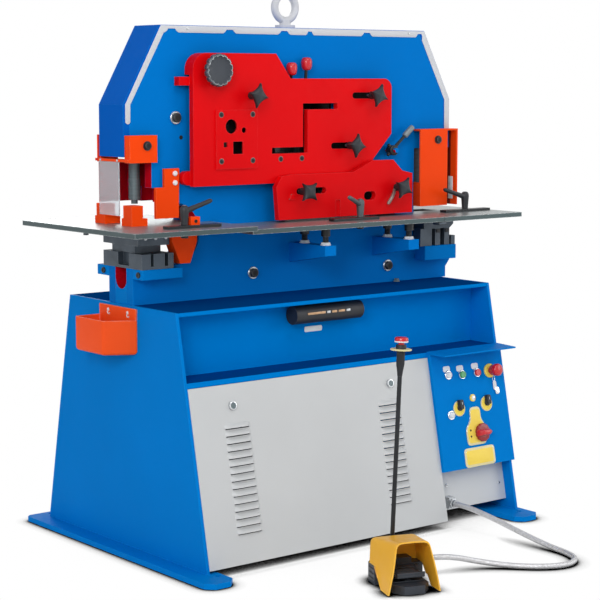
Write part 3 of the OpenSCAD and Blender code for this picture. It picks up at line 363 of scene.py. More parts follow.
class Piece:
    """Collects mesh parts in millimetres and becomes one object that rides on a body."""
    place = (0, 0, 0)

    def __init__(self, name, *mats, body="machine"):
        self.name, self.mats, self.body = name, mats, body
        self.bm = bmesh.new()

    def _faces(self, verts, mi):
        for f in {f for v in verts for f in v.link_faces}:
            f.material_index = mi

    def _bevel(self, verts, r):
        edges = list({e for v in verts for e in v.link_edges})
        bmesh.ops.bevel(self.bm, geom=edges, offset=r, segments=2, profile=0.5, affect="EDGES",
                        clamp_overlap=True)

    def box(self, low, high, r=1.0, mi=0, at=Matrix()):
        low, high = Vector(low), Vector(high)
        verts = bmesh.ops.create_cube(self.bm, size=1)["verts"]
        for v in verts:
            part = v.co + Vector((0.5, 0.5, 0.5))
            v.co = at @ Vector([low[i] + part[i] * (high[i] - low[i]) for i in range(3)])
        self._faces(verts, mi)
        if r:
            self._bevel(verts, r)
        return self

    def rings(self, rings, mi=0, close=True):
        """Skin over rings of equal length; a ring of one point is a tip."""
        made = [[self.bm.verts.new(p) for p in ring] for ring in rings]
        for a, b in zip(made, made[1:]):
            n = max(len(a), len(b))
            for i in range(n):
                j = (i + 1) % n
                quad = [a[i % len(a)], a[j % len(a)], b[j % len(b)], b[i % len(b)]]
                quad = list(dict.fromkeys(quad))
                if len(quad) > 2:
                    self.bm.faces.new(quad).material_index = mi
        if close:
            for ring in (made[0], made[-1]):
                if len(ring) > 2:
                    self.bm.faces.new(ring).material_index = mi
        return self

    def sheet(self, rows):
        """An open skin over rows of points; hands back its corners."""
        made = [[self.bm.verts.new(p) for p in row] for row in rows]
        for a, b in zip(made, made[1:]):
            for k in range(len(a) - 1):
                self.bm.faces.new([a[k], a[k + 1], b[k + 1], b[k]])
        return made

    def lathe(self, at, profile, seg=32, mi=0, close=True):
        """A round shape through each (radius, height) of a profile."""
        return self.loft(at, circle(1, seg), profile, mi, close)

    def loft(self, at, outline, layers, mi=0, close=True):
        """One outline repeated at each (scale, height) of layers; scale 0 is a tip."""
        rings = [[at @ Vector((x * s, y * s, h)) for x, y in (outline if s else [(0, 0)])] for s, h in layers]
        return self.rings(rings, mi, close)

    def prism(self, at, outline, h0, h1, r=0, mi=0):
        low = [self.bm.verts.new(at @ Vector((x, y, h0))) for x, y in outline]
        high = [self.bm.verts.new(at @ Vector((x, y, h1))) for x, y in outline]
        n = len(outline)
        self.bm.faces.new(low[::-1])
        self.bm.faces.new(high)
        for i in range(n):
            self.bm.faces.new([low[i], low[(i + 1) % n], high[(i + 1) % n], high[i]])
        self._faces(low + high, mi)
        if r:
            self._bevel(low + high, r)
        return self

    def tube(self, points, radius, seg=14, mi=0):
        points = [Vector(p) for p in points]
        radii = radius if isinstance(radius, (list, tuple)) else [radius] * len(points)
        side = None
        rings = []
        for i, p in enumerate(points):
            way = (points[min(i + 1, len(points) - 1)] - points[max(i - 1, 0)]).normalized()
            if side is None:
                side = way.orthogonal().normalized()
            side = (side - way * side.dot(way)).normalized()
            up = way.cross(side)
            rings.append([p + radii[i] * (x * side + y * up) for x, y in circle(1, seg)])
        return self.rings(rings, mi)

    def screw(self, at, r, h, mi=0, pit=1):
        """Cap screw with a hexagon socket; its shallow hollow in the pit material is painted shade."""
        socket = [(r * 0.55, h + 0.05), (r * 0.5, h + 0.05), (r * 0.46, h - 0.3), (0, h - 0.3)]
        self.lathe(at, [(r, 0), (r, h * 0.75), (r * 0.86, h), (r * 0.55, h)], 24, mi)
        return self.lathe(at, socket, 6, pit)

    def done(self, replaces=None, slot=None, sharp=38):
        bmesh.ops.recalc_face_normals(self.bm, faces=self.bm.faces)
        bmesh.ops.translate(self.bm, vec=self.place, verts=self.bm.verts)
        bmesh.ops.scale(self.bm, vec=(MM, MM, MM), verts=self.bm.verts)
        mesh = bpy.data.meshes.new(self.name)
        self.bm.to_mesh(mesh)
        self.bm.free()
        for m in self.mats:
            mesh.materials.append(M[m])
        mesh.shade_smooth()
        mesh.set_sharp_from_angle(angle=radians(sharp))
        obj = bpy.data.objects.new(self.name, mesh)
        scene.collection.objects.link(obj)
        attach(obj, self.body)
        if replaces:
            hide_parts(replaces)
        return obj


class FramePiece(Piece):
    """A piece drawn about the axes of the frame, which stands on the cabinet at this place."""
    place = FRAME_PLACE


def circle(r, n, cx=0.0, cy=0.0, start=0.0, sweep=360.0):
    """Points along a circle; a part of one includes both of its ends."""
    last = n if sweep >= 360 else n - 1
    angles = [radians(start + sweep * k / last) for k in range(n)]
    return [(cx + r * cos(a), cy + r * sin(a)) for a in angles]


HEXAGON = circle(1, 6)


def rounded(w, h, r):
    """A rectangle about the origin with round corners."""
    x, y = w / 2 - r, h / 2 - r
    corners = ((x, y, 0), (-x, y, 90), (-x, -y, 180), (x, -y, 270))
    return [p for cx, cy, start in corners for p in circle(r, 6, cx, cy, start, 90)]


def polar(n, reach):
    """A closed outline of n points; reach gives the distance from the middle at each angle."""
    angles = [2 * pi * k / n for k in range(n)]
    return [(reach(a) * cos(a), reach(a) * sin(a)) for a in angles]


def corners_of(points):
    """Each corner of an outline between the ones before and after it."""
    n = len(points)
    return [[Vector(points[(i + k) % n]) for k in (-1, 0, 1)] for i in range(n)]


def soft_corners(points, radius, n=4):
    """A convex or concave outline with each corner cut back by radius and rounded."""
    made = []
    for a, b, c in corners_of(points):
        r = min(radius, (a - b).length * 0.45, (c - b).length * 0.45)
        p, q = b + (a - b).normalized() * r, b + (c - b).normalized() * r
        for k in range(n + 1):
            s = k / n
            made.append(tuple((1 - s) ** 2 * p + 2 * s * (1 - s) * b + s * s * q))
    return made


def inset_shape(points, k, mid):
    """An outline drawn in towards a middle point."""
    return [(mid[0] + (x - mid[0]) * k, mid[1] + (y - mid[1]) * k) for x, y in points]


def inset(points, d):
    """A convex outline, counter-clockwise, moved inwards by d."""
    made = []
    for a, b, c in corners_of(points):
        u, v = (b - a).normalized(), (c - b).normalized()
        nu, nv = Vector((-u.y, u.x)), Vector((-v.y, v.x))
        made.append(tuple(b + (nu + nv) * (d / (1 + nu.dot(nv)))))
    return made


# Conduit along the route of its CAD solid, strip-wound with a step at every turn
ROUTE = [
    (357, -434, 72), (357, -452, 72), (358, -495, 70), (360, -545, 64), (363, -600, 55),
    (367, -660, 43), (371, -720, 31), (375, -780, 20), (377, -840, 12), (374, -892, 9),
    (359, -938, 9), (332, -970, 9), (295, -986, 9), (256, -984, 9), (220, -968, 9),
    (187, -944, 9), (157, -914, 9), (126, -882, 11), (94, -854, 16), (56, -830, 24),
    (14, -812, 35), (-29, -798, 43), (-72, -785, 46), (-112, -770, 46), (-129, -764, 46)]


def smooth_path(points, steps):
    p = [Vector(q) for q in points]
    p = [2 * p[0] - p[1]] + p + [2 * p[-1] - p[-2]]
    path = []
    for i in range(1, len(p) - 2):
        a, b, c, d = p[i - 1:i + 3]
        for k in range(steps):
            t = k / steps
            path.append(0.5 * (2 * b + (c - a) * t + (2 * a - 5 * b + 4 * c - d) * t * t
                               + (3 * b - a - 3 * c + d) * t ** 3))
    return path + [p[-2]]


def even_points(path, gap):
    """Points at even distances along a path."""
    total = sum((b - a).length for a, b in zip(path, path[1:]))
    n = max(2, round(total / gap))
    made, walked, i = [path[0]], 0.0, 0
    for k in range(1, n):
        want = total * k / n
        while walked + (path[i + 1] - path[i]).length < want:
            walked += (path[i + 1] - path[i]).length
            i += 1
        seg = path[i + 1] - path[i]
        made.append(path[i] + seg * ((want - walked) / seg.length))
    return made + [path[-1]], total


HOSE_R = 8.5
TURN_RADII = (7.7, 8.1, HOSE_R, 8.4)
TURN_STEP = 1.15
hose_line, hose_length = even_points(smooth_path(ROUTE, 40), TURN_STEP)
hose_radii = [TURN_RADII[i % len(TURN_RADII)] for i in range(len(hose_line))]
hose = Piece("ribbed_conduit", "hose").tube(hose_line, hose_radii, 20)
hose = hose.done("conduit_hose", "hose_metal", 60)


# CAD nodes that stay: a material, and small rounded edges
def dress(node, mat, round_mm, seam_mm=0.02):
    obj = NODES[node]
    for s in obj.material_slots:
        s.material = M[mat]
    if not obj.material_slots:
        obj.data.materials.append(M[mat])
    weld = obj.modifiers.new("weld", "WELD")
    weld.merge_threshold = seam_mm * MM
    flat = obj.modifiers.new("flat", "DECIMATE")
    flat.decimate_type = "DISSOLVE"
    flat.angle_limit = radians(0.6)
    bevel = obj.modifiers.new("edges", "BEVEL")
    bevel.width = round_mm * MM
    bevel.segments = 2
    bevel.limit_method = "ANGLE"
    bevel.angle_limit = radians(40)
    bevel.use_clamp_overlap = True
    normal = obj.modifiers.new("normals", "WEIGHTED_NORMAL")
    normal.keep_sharp = False
    normal.weight = 80


for names, mat, r in (
        ("left_side_panel right_side_panel control_box rear_panel", "blue", 1.2),
        ("top_deck", "blue_deck", 1.2),
        ("die_bases", "blue", 2.0),
        ("frame_front_plate", "front_plate", 2.0),
        ("frame_rear_plate", "rear_plate", 2.0),
        ("front_cover lower_cover", "grey", 0.5),
        ("eye_bolt", "eye", 0.8),
        ("punch_guard", "guard", 1.2),
        ("punch_stripper", "orange", 1.2),
        ("notch_guard", "notch", 1.2),
        ("holddown_plate bar_shear_plate shear_holddown", "red", 1.5),
        ("power_pack shear_beam", "dark", 0.8),
        ("frame_spacers", "blue", 0.8),
        ("punch_ram", "ram", 0.8),
        ("shear_rod hose_gland cover_lock_left cover_lock_right", "steel", 0.6),
        ("die_blocks", "die", 1.2),
        ("work_table", "table", 1.5),
        ("guard_window", "clear", 0.6),
        ("tool_tube", "black", 1.0),
        ("fence_bar_1 fence_bar_2 fence_bar_3", "black_steel", 1.0),
        ("green_button", "green", 1.0),
        ("red_button", "red_cap", 1.0),
        ("pedal_base", "pedal", 2.5)):
    for n in names.split():
        dress(n, mat, r)
dress("end_hood", "blue_hood", 1.5, 0.3)


# Bolts and screws: frame, ribs under the table, orange guards, red plates, rim of the throat
FRAME_BOLTS = ((-440, 1312), (-152, 825), (409, 812))
RIB_TOP, WASHER = 913, 2.6
THREAD = [(9.9 if k % 2 else 9, 6 + 1.5 * k) for k in range(20)] + [(9, 37)]
bolts = FramePiece("machine_fasteners", "steel", "black_steel", "pit", "white", "dull")
for x, z in FRAME_BOLTS:
    bolts.lathe(front(x, FRONT_FACE, z), [(19.6, 0), (19.6, 3.6), (18.2, 5), (14, 5)], 40)
    bolts.screw(front(x, FRONT_FACE - 5, z), 14.4, 9, 1, 2)
for x in (15, 363):
    for y in (-80, -185):
        on_washer = top(x, y, RIB_TOP + WASHER)
        bolts.lathe(top(x, y, RIB_TOP), [(17, 0), (17, 2), (15, WASHER), (10, WASHER)], 32, 3)
        bolts.loft(on_washer, HEXAGON, [(15, 0), (16, 1), (16, 5), (14.6, 6.4), (10, 6.4)], 3)
        bolts.lathe(on_washer, THREAD, 24, 1)
        bolts.lathe(top(x, y, 940), [(11, 0), (14.5, 1.5), (14.5, 27), (13, 27.9)], 24, 1)
for x, y, z in ((-561, -57, 1231), (600, -64, 1226)):
    bolts.lathe(front(x, y, z), [(14, 0), (14, 2), (9, 2)], 32, 1)
    bolts.screw(front(x, y - 2, z), 11.5, 7, 1, 2)
plate_screws = [(x, RAISED_FACE, z) for x in (-306, -187) for z in (1179, 1320)]
plate_screws += [(x, RED_FACE, 1180) for x in (-74, 10)]
for x, y, z in plate_screws:
    bolts.lathe(front(x, y, z), [(9, 0), (9, 0.6), (8, 1), (7, 1)], 24, 4)
    bolts.lathe(front(x, y, z), [(7, 0.4), (7, 2), (5.6, 2.9), (0, 3)], 24, 1)
    bolts.lathe(front(x, y - 2.9, z), [(3, 0), (2.8, 0.15), (0, 0.15)], 6, 2)
for z in (1118, 1146):
    bolts.lathe(front(-452, -40, z), [(8, 0), (8, 3.6), (6, 5.6), (0, 6)], 24, 3)
bolts.done("machine_bolts", "dark_steel")

# A dark disc of painted shade for a small hole in the frame, and a bolt end below the table
bits = FramePiece("frame_details", "pit", "dark", "blue", "inside")
bits.lathe(front(-420, FRONT_FACE, 1252.5), [(6.5, 0.02), (6.5, 0.5), (5, 0.6), (0, 0.6)], 24)
bits.lathe(top(-671, 114, 980) @ turned(180, "X"),
           [(12, 0.02), (12, 9), (8, 11), (8, 18), (0, 19)], 24, 1)

# Round foot of the slot under the die, and dark strips of painted shade behind the slots of two star knobs
fillet = [(68, 801), (68, 831)] + circle(30, 17, 38, 831, 0, -180) + [(8, 801)]
for x0, x1, mi in ((0, 1, 2), (1, 250, 3)):
    bits.prism(right(-597, 0, 0), fillet, x0, x1, 0, mi)
for x0, x1, z in ((224, 354, 1375), (136, 259, 1216)):
    bits.box((x0, FRONT_FACE - 0.5, z - 16), (x1, FRONT_FACE - 0.02, z + 16), 0, 0)
bits.done()


# Blades behind the shear plates: fixed ones in both frame plates, a moving one in the beam
SLOT = 10.5
LOW_LEG, HIGH_LEG, STEM = 1206, 1342, 24.5
BLADES = [
    [(-114.8, LOW_LEG), (-108, LOW_LEG), (-108, LOW_LEG + SLOT), (STEM - SLOT, LOW_LEG + SLOT),
     (STEM - SLOT, HIGH_LEG + SLOT), (157, HIGH_LEG + SLOT), (157, HIGH_LEG), (164.8, HIGH_LEG),
     (164.8, 1359.8), (-114.8, 1359.8)],
    [(-114.8, LOW_LEG), (-114.8, 1185.2), (164.8, 1185.2), (164.8, HIGH_LEG), (157, HIGH_LEG),
     (157, HIGH_LEG - SLOT), (STEM + SLOT, HIGH_LEG - SLOT), (STEM + SLOT, LOW_LEG - SLOT),
     (-108, LOW_LEG - SLOT), (-108, LOW_LEG)],
    [(-324.8, 1250), (-268, 1250)] + circle(23, 17, -268, 1284, 270, -180)
    + [(-268, 1334.8), (-324.8, 1334.8)],
    [(-268, 1250), (-165.2, 1250), (-165.2, 1334.8), (-268, 1334.8)]
    + circle(23, 17, -268, 1284, 90, -180),
    [(-324.8, 1165.2), (-243, 1165.2), (-243, 1199), (-263, 1199), (-263, 1239), (-243, 1239),
     (-243, 1250), (-324.8, 1250)],
    [(-243, 1165.2), (-165.2, 1165.2), (-165.2, 1250), (-243, 1250), (-243, 1239), (-223, 1239),
     (-223, 1199), (-243, 1199)]]
for name, body, spans in (("fixed_blades", "machine", ((-27, 7.5), (68.5, 103))),
                          ("moving_blades", "beam", ((10.5, 65.5),))):
    blades = FramePiece(name, "black_steel", body=body)
    for y0, y1 in spans:
        for outline in BLADES:
            blades.prism(front(0, 0, 0), outline, -y1, -y0)
    # Fillers in both legs of the angle slot at the rear
    if body == "machine":
        for x0, x1, z in ((-34, 13.9, LOW_LEG), (96, 156.9, HIGH_LEG)):
            blades.box((x0, 72, z - SLOT + 0.1), (x1, 100, z + SLOT - 0.1), 0)
    blades.done(slot="dark_steel")


# Light trim round the front of the hood, with notches along its lower edge; the first opens at the bend
TRIM_TOP, TRIM_LOW, NOTCH_TOP = 1585.5, 1565, 1577
NOTCH = ((1, TRIM_LOW), (0.72, TRIM_LOW + 4), (0.5, NOTCH_TOP))
outer = [(-618, 1352.5), (-490, TRIM_TOP), (565, TRIM_TOP), (682.5, 1361), (682.5, 1256)]
inner = []
for mid, half in ((545, 18), (314, 25), (77, 16), (-26, 25), (-237, 25), (-451, 25)):
    inner += [(mid + half * part, z) for part, z in NOTCH]
    inner += [(mid - half * part, z) for part, z in NOTCH[::-1]]
inner = [(661, 1256), (661, 1359), (556, 1555)] + inner[1:] + [(-480, TRIM_LOW), (-601, 1352)]
end = [(-601 - 8.5 * (1 - cos(a)) - 0.25 * sin(a), 1302 - 7 * sin(a)) for a in
       [k * pi / 8 for k in range(1, 8)]]
trim = FramePiece("hood_trim", "trim", "steel")
trim.prism(front(0, FRONT_FACE, 0), outer + inner + [(-601, 1302)] + end + [(-618, 1302)], 0.02, 1.6, 0.4)
for x in (-394, 2, 497):
    trim.lathe(front(x, FRONT_FACE - 1.6, NOTCH_TOP), [(4.5, 0), (4.5, 1), (3, 1.8), (0, 2)], 20, 1)
trim.done(slot="grey_paint")


# Louvres of the front cover: a scoop over each slot
LOUVRE_COLUMNS, LOUVRE_ROWS, LOUVRE_LOW, LOUVRE_HIGH = (-463, 129), 15, 108, 410
LOUVRE_W, SCOOP_H, SCOOP_OUT = 92, 15, 10.5
louvres = Piece("cover_louvres", "grey")
for cx in LOUVRE_COLUMNS:
    for i in range(LOUVRE_ROWS):
        z = LOUVRE_LOW + (LOUVRE_HIGH - LOUVRE_LOW) / (LOUVRE_ROWS - 1) * i
        at = slope(cx, z + 8, 2)
        grid = []
        for t in (0, 0.2, 0.4, 0.6, 0.8, 1):
            row = []
            for u in [-1 + 2 * a / 14 for a in range(15)]:
                depth = SCOOP_OUT * sin(t * pi / 2) * (1 - abs(u) ** 8)
                row.append(at @ Vector((u * LOUVRE_W / 2, SCOOP_H * (1 - t) - 4.5, depth + 0.02)))
            grid.append(row)
        turned_in = at.to_3x3() @ Vector((0, 0.9, -0.9))
        grid.append([p + turned_in * min(1, (p - at.translation).length) for p in grid[-1]])
        louvres.sheet(grid)
louvres.done(slot="grey_paint", sharp=50)

# Key recess in each cover lock, its hollow in painted shade
LOCK_Z, LOCK_PROUD = 477, 9
for side, x in (("left", -473), ("right", 141)):
    at = slope(x, LOCK_Z + LOCK_PROUD * SIN, LOCK_PROUD)
    lock = Piece(f"cover_lock_{side}_key", "chrome", "pit", "ram", body=f"lock_{side}")
    lock.lathe(at, [(12.6, 0.02), (12.4, 1.4), (11.4, 2), (10, 2), (9.4, 1.2)])
    lock.lathe(at, [(9.6, 0.9), (9.2, 1.5), (7.4, 1.6)], 32, 2)
    lock.lathe(at, [(7.4, 1.55), (6.8, 1.3), (0, 1.3)], 3, 1)
    lock.done(slot="bright_steel")

# Screws of the small lower cover
low = Piece("lower_cover_screws", "steel", "pit")
for x, z in ((362, 123), (596, 100)):
    low.screw(slope(x, z, -38), 5, 3, 0, 1)
low.done(slot="bright_steel")


# Places and frames on the control panel
PANEL_LAMPS = ((382, 480), (373, 353))
BUTTONS = ((440, 475), (507, 475))
STOP = panel(566, 476)
SELECTORS = (("left", 412, 373), ("right", 535, 376))
SMALL_CAP = panel(476, 397)
MAIN_SWITCH = panel(495, 284)
YELLOW_PLATE = panel(477, 210)

# Fixed fittings of the control panel
fit = Piece("panel_hardware", "chrome", "yellow", "lens", "white", "pit", "steel", "collar")
for x, z in PANEL_LAMPS:
    fit.lathe(panel(x, z), [(15, 0), (15, 3.5), (13.4, 5), (11.4, 5)], 40)
    fit.lathe(panel(x, z), [(11.4, 4.6), (11.4, 7.5), (10, 10), (6, 11.7), (0, 12)], 40, 2)
for x, z in BUTTONS:
    fit.lathe(panel(x, z), [(15, 0), (15, 5.5), (13.6, 8), (12.4, 8), (11.9, 7), (11.9, 0.2)], 40)
fit.lathe(STOP, [(23, 0), (23, 5), (20.5, 8), (10.5, 8), (9.6, 7), (9.6, 0.2)], 48, 1)
for side, x, z in SELECTORS:
    fit.lathe(panel(x, z - 3), [(25, 0), (25, 1.8), (24, 2.4), (21, 2.4)], 48, 6)
    fit.lathe(panel(x, z - 3), [(22, 2), (22, 2.8), (21, 3.3), (0, 3.3)], 48, 1)
fit.lathe(SMALL_CAP, [(12, 0), (12, 3), (10.6, 4), (8, 4)], 32, 1)
fit.lathe(SMALL_CAP, [(8, 3.6), (8, 6), (5, 7.8), (0, 8)])
plate = soft_corners([(-66, -37), (18, -37), (18, 30), (5, 42), (5, 86), (-41, 86), (-41, 42), (-66, 22)], 14)
fit.prism(MAIN_SWITCH, plate, 0.02, 3.2, 1, 6)
fit.prism(MAIN_SWITCH, inset_shape(plate, 0.88, (-24, 22)), 3, 4, 0.4, 1)
for y in (12, -8):
    fit.lathe(MAIN_SWITCH @ top(-48, y, 4), [(3.4, 0), (3.4, 0.4), (0, 0.5)], 16, 4)
fit.prism(YELLOW_PLATE, rounded(134, 62, 11), 0.02, 1.4, 0.4, 6)
fit.prism(YELLOW_PLATE, rounded(118, 46, 5), 1.3, 2, 0.3, 1)
for x in (-60, 60):
    for y in (-23, 23):
        fit.lathe(YELLOW_PLATE @ top(x, y, 1.3), [(2.2, 0), (2.2, 0.4), (0, 1)], 12, 5)
for x, z in ((378, 499), (436, 496), (503, 497)):
    fit.prism(panel(x, z), rounded(30, 19, 6), 0.02, 1.2, 0.3, 3)
fit.done("panel_fittings", "yellow_plastic")

# Stop button of the panel
stop = Piece("panel_stop_head", "red_cap", body="panel_stop")
stop.lathe(STOP, [(9, 5.7), (9, 15), (12, 16), (17, 17), (18, 20), (18, 30), (19.4, 32), (20, 35), (20, 42),
                  (18.6, 46), (14, 49), (0, 50)], 48)
stop.done("panel_estop", "red_plastic")

# Selectors: a round foot and a grip that reaches up from the axis
GRIP = soft_corners([(-7, -6), (7, -6), (9, 6), (7.5, 25), (-7.5, 25), (-9, 6)], 3)
for side, x, z in SELECTORS:
    knob = Piece(f"selector_{side}_grip", "black", "white", body=f"select_{side}")
    knob.lathe(panel(x, z), [(10, 3.5), (11, 4.4), (11, 8), (9.6, 9.4), (0, 9.4)], 36)
    knob.loft(panel(x, z), GRIP, [(1, 4), (1, 14), (0.94, 17.4), (0.8, 19), (0, 19.2)])
    knob.box((-0.9, 8, 18.9), (0.9, 17, 19.4), 0.2, 1, panel(x, z))
    knob.done(f"selector_{side}", "black_plastic")

# Main switch handle: fluted disc and a wedge grip
main = Piece("main_switch_handle", "red_dark", "red_cap", body="main_handle")
main.loft(MAIN_SWITCH, polar(96, lambda a: 30 - 1.6 * max(0, cos(12 * a))),
          [(0.97, 4.5), (1, 6), (1, 11.5), (0.95, 13.6), (0.86, 14.4), (0.5, 14.4), (0, 14.4)])
main.loft(MAIN_SWITCH, soft_corners([(-29, -10), (20, -10), (30, 0), (20, 10), (-29, 10)], 5),
          [(1, 14), (0.97, 22), (0.84, 29), (0.66, 32.6), (0.4, 33.8), (0, 33.8)], 1)
main.done("main_switch", "red_plastic")

# Tag and ring that hang below the stop button
tag = Piece("key_tag", "chrome", "white")
ring = [panel(578 + 5 * x, 449 + 9 * z) @ Vector((0, 0, 4)) for x, z in circle(1, 24)]
tag.tube(ring + ring[:1], 0.9, 8)
tag.prism(panel(582, 426), rounded(15, 30, 5), 1.2, 2.6, 0.4, 1)
tag.prism(panel(589, 409), rounded(17, 22, 5), 2.8, 4, 0.4, 0)
tag.done(slot="bright_steel")


# Keys in the window of the tool holder, and its end caps
TUBE_Y, TUBE_Z = -251, 708
keys = Piece("tool_holder_keys", "black", "tan", "steel")
for x0, x1 in ((-171, -150), (76, 97)):
    keys.lathe(right(x0, TUBE_Y, TUBE_Z),
               [(26.5, 0.4), (28.4, 2), (28.49, x1 - x0 - 2), (26.5, x1 - x0 - 0.4)], 40)
for x0, x1, mi in ((-132, -60, 1), (-56, -40, 2), (-36, -14, 1), (-10, 18, 1), (22, 40, 2)):
    keys.box((x0, -280.6, TUBE_Z), (x1, -276, TUBE_Z + 9), 1.2, mi)
keys.done(slot="black_plastic")

# Small plain plate below the tool holder
plain = Piece("recess_plate", "white")
plain.prism(front(-62, -219.6, 655), rounded(70, 17, 5), 0.02, 1.2, 0.3)
plain.done()

# Slug tray with rounded corners, a rolled rim and two hooks
TRAY_WALL, TRAY_FRONT = -630, -720
PLAN = [(TRAY_WALL, -94), (TRAY_WALL, 114), (TRAY_FRONT, 114), (TRAY_FRONT, -39)]
tray = Piece("slug_tray_body", "tray", "white")
tray.rings([[(x, y, z) for x, y in soft_corners(inset(PLAN, d), r)] for d, r, z in (
    (12, 3, 610), (6, 4, 611.5), (2, 5, 615), (0, 6, 621), (0, 6, 712), (0.4, 6, 714.4), (1.5, 5, 715.2),
    (2.6, 5, 714.4), (3, 5, 712), (3, 5, 623), (5, 4, 617), (10, 3, 613.4), (14, 3, 613))])
tray.prism(left(TRAY_WALL, 0, 0), soft_corners([(-110, 690), (88, 690), (92, 748), (-114, 748)], 4),
           0.02, 4, 0.6)
for y in (62, -45):
    tray.lathe(left(TRAY_WALL - 4, y, 733), [(5.5, 0), (5.5, 1.6), (3, 3), (0, 3.2)], 20, 1)
    tray.tube([(-634.5, y + 5, 727), (-635.2, y, 721), (-635.2, y - 5, 720), (-634.5, y - 8, 724)], 1.6, 8, 1)
tray.done("slug_tray", "orange_paint")


# Bolts of the dies and die bases
dies = FramePiece("die_bolts", "black_steel", "pit", "white")
for y in (-60, 132):
    dies.screw(left(-598, y, 850), 9, 5, 0, 1)
for x in (-572, -536, -500):
    dies.lathe(front(x, -58, 957), [(5, 0), (5, 3), (3, 4), (0, 4)], 16, 2)
for x in (-585, -505):
    dies.screw(back(x, 134, 886), 7, 5, 0, 1)
for x in (550, 645):
    dies.screw(back(x, 150, 900), 8, 6, 0, 1)
for x in (593, 634):
    dies.box((x - 9, -79, 914), (x + 9, -74, 927), 1.5, 0)
dies.done(slot="dark_steel")

# Seam in the lower table and its dark end block
seam = FramePiece("table_seam", "pit", "dark")
seam.box((464.4, -245.2, 968), (466, 355, 983.1), 0)
seam.box((440, -246, 958), (474, -215, 967.9), 1.5, 1)
seam.done(slot="dark_steel")


# Star knobs: four concave-sided points on a hub
POWER = 0.72
STAR = polar(96, lambda a: 39 / (abs(cos(a)) ** POWER + abs(sin(a)) ** POWER) ** (1 / POWER))
for i, (x, z, face, turn) in enumerate((
        (-190, 1377, RED_FACE, 12), (296, 1375, RED_FACE, 20), (204, 1216, RED_FACE, 8),
        (-10, 1078, LOW_RED_FACE, 45), (385, 1076, LOW_RED_FACE, 30)), 1):
    at = front(x, face, z) @ turned(-turn)
    knob = FramePiece(f"star_knob_{i}_grip", "black", "steel", body=f"star_{i}")
    knob.loft(at, STAR, [(0.82, 33), (0.95, 34.5), (1, 37), (1, 42), (0.93, 46), (0.78, 49), (0.55, 51),
                         (0.25, 52), (0, 52.2)])
    knob.lathe(at, [(11.5, 0.6), (12, 2), (11, 20), (14, 33), (14, 36)])
    knob.lathe(at, [(4.4, -17.5), (4.4, 1.5)], 20, 1)
    knob.done(f"star_knob_{i}", "black_plastic")

# Round handwheel with flutes, a dark dished face and a rim with painted glints
wheel = FramePiece("handwheel", "pedal", "glinting_rim", body="handwheel")
flutes = polar(168, lambda a: 49.8 - 4 * max(0, cos(14 * a)) ** 1.5)
at = front(-332, RED_FACE, 1453)
wheel.loft(at, flutes, [(0.3, 22), (0.9, 22), (0.98, 23.6), (1, 26), (1, 35), (0.97, 38.4), (0.93, 39.9),
                        (0.88, 39.9)], 1, False)
wheel.loft(at, flutes, [(0.88, 39.9), (0.86, 38.4), (0.8, 36.6), (0.7, 35.6), (0.4, 34.9),
                        (0, 34.8)], 0, False)
wheel.lathe(at, [(17, 0.6), (18, 2), (18, 18), (22, 22.4)], 40)
wheel.lathe(at, [(6.4, -17.5), (6.4, 1)], 24)
wheel.done("round_knob", "black_plastic")

# Ball levers: black stem, red grip
for i, (x, z) in enumerate(((-10, 1459), (50, 1475)), 1):
    lever = FramePiece(f"ball_lever_{i}_grip", "red_cap", "black_steel", body=f"ball_{i}")
    lever.lathe(front(x, -33, 1400), [(4.5, 0), (12, 0.2), (12, 13.8), (4.5, 14), (4.5, 0)], 32, 1)
    lever.tube([(x, -40, 1411), (x, -40.5, 1425), (x, -43, z - 22), (x, -46, z - 10)], [5, 5, 5, 6], 16, 1)
    lever.lathe(top(x, -46, z), [(6, -20), (10, -19.4), (14, -16), (16.6, -8), (17.4, 4), (16.6, 12),
                                 (13, 18), (8, 20), (0, 20.4)], 32)
    lever.done(f"ball_lever_{i}", "red_paint")

# Clamp lever: hub with two stub arms and a grey grip
CLAMP_X, CLAMP_Z = 405, 1195
clamp = FramePiece("clamp_lever", "handle", "black_steel", body="clamp")
arm = top(CLAMP_X, -53, CLAMP_Z) @ turned(-40, "Y")
clamp.lathe(front(CLAMP_X, -41, CLAMP_Z),
            [(8.4, 0), (17, 0.4), (17, 24), (14, 26.6), (8.4, 27), (8.4, 0)], 36, 1)
clamp.tube([arm @ Vector(p) for p in ((14, 0, 0), (40, 0, 0), (74, 0, 0))], [6, 5, 5], 16, 1)
clamp.lathe(arm @ right(0, 0, 0),
            [(5, 70), (8.6, 71), (10, 74), (10, 112), (8.6, 116.4), (6, 117.8), (0, 118)], 28)
for a, b in (((-12, 0, 0), (-26, 0, 0)), ((0, 0, 12), (0, 0, 26))):
    clamp.tube([arm @ Vector(a), arm @ Vector([v * 0.96 for v in b]), arm @ Vector(b)], [6, 5, 3], 14, 1)
clamp.done("clamp_handle", "dark_steel")

# Clamping levers of the fences: a waisted hub and a tapered arm with a round end
for i, (x, y, z, turn, mat) in enumerate((
        (-526, -196, 1003.6, 0, "black"), (180, -157, 991.6, 208, "lever"),
        (694, -100, 991.6, 180, "black")), 1):
    at = top(x, y, z) @ turned(turn)
    lever = FramePiece(f"fence_lever_{i}_grip", mat, "steel", body=f"fence_{i}_arm")
    lever.lathe(at, [(10, 0), (10.8, 1), (10.6, 6), (12.2, 28), (13.4, 42), (12.8, 50), (9.6, 56), (6, 58),
                     (0, 58)], 32)
    line = [(0, 0, 40), (14, 0, 44), (40, 0, 52), (70, 0, 61), (92, 0, 67.6), (97.4, 0, 69.2)]
    lever.tube([at @ Vector(p) for p in line], [9, 8.6, 7.4, 6.8, 6.6, 4], 18)
    lever.lathe(at, [(5, 57.4), (5, 58.4), (3.6, 59), (0, 59)], 20, 1)
    lever.done(f"fence_lever_{i}", "black_plastic")

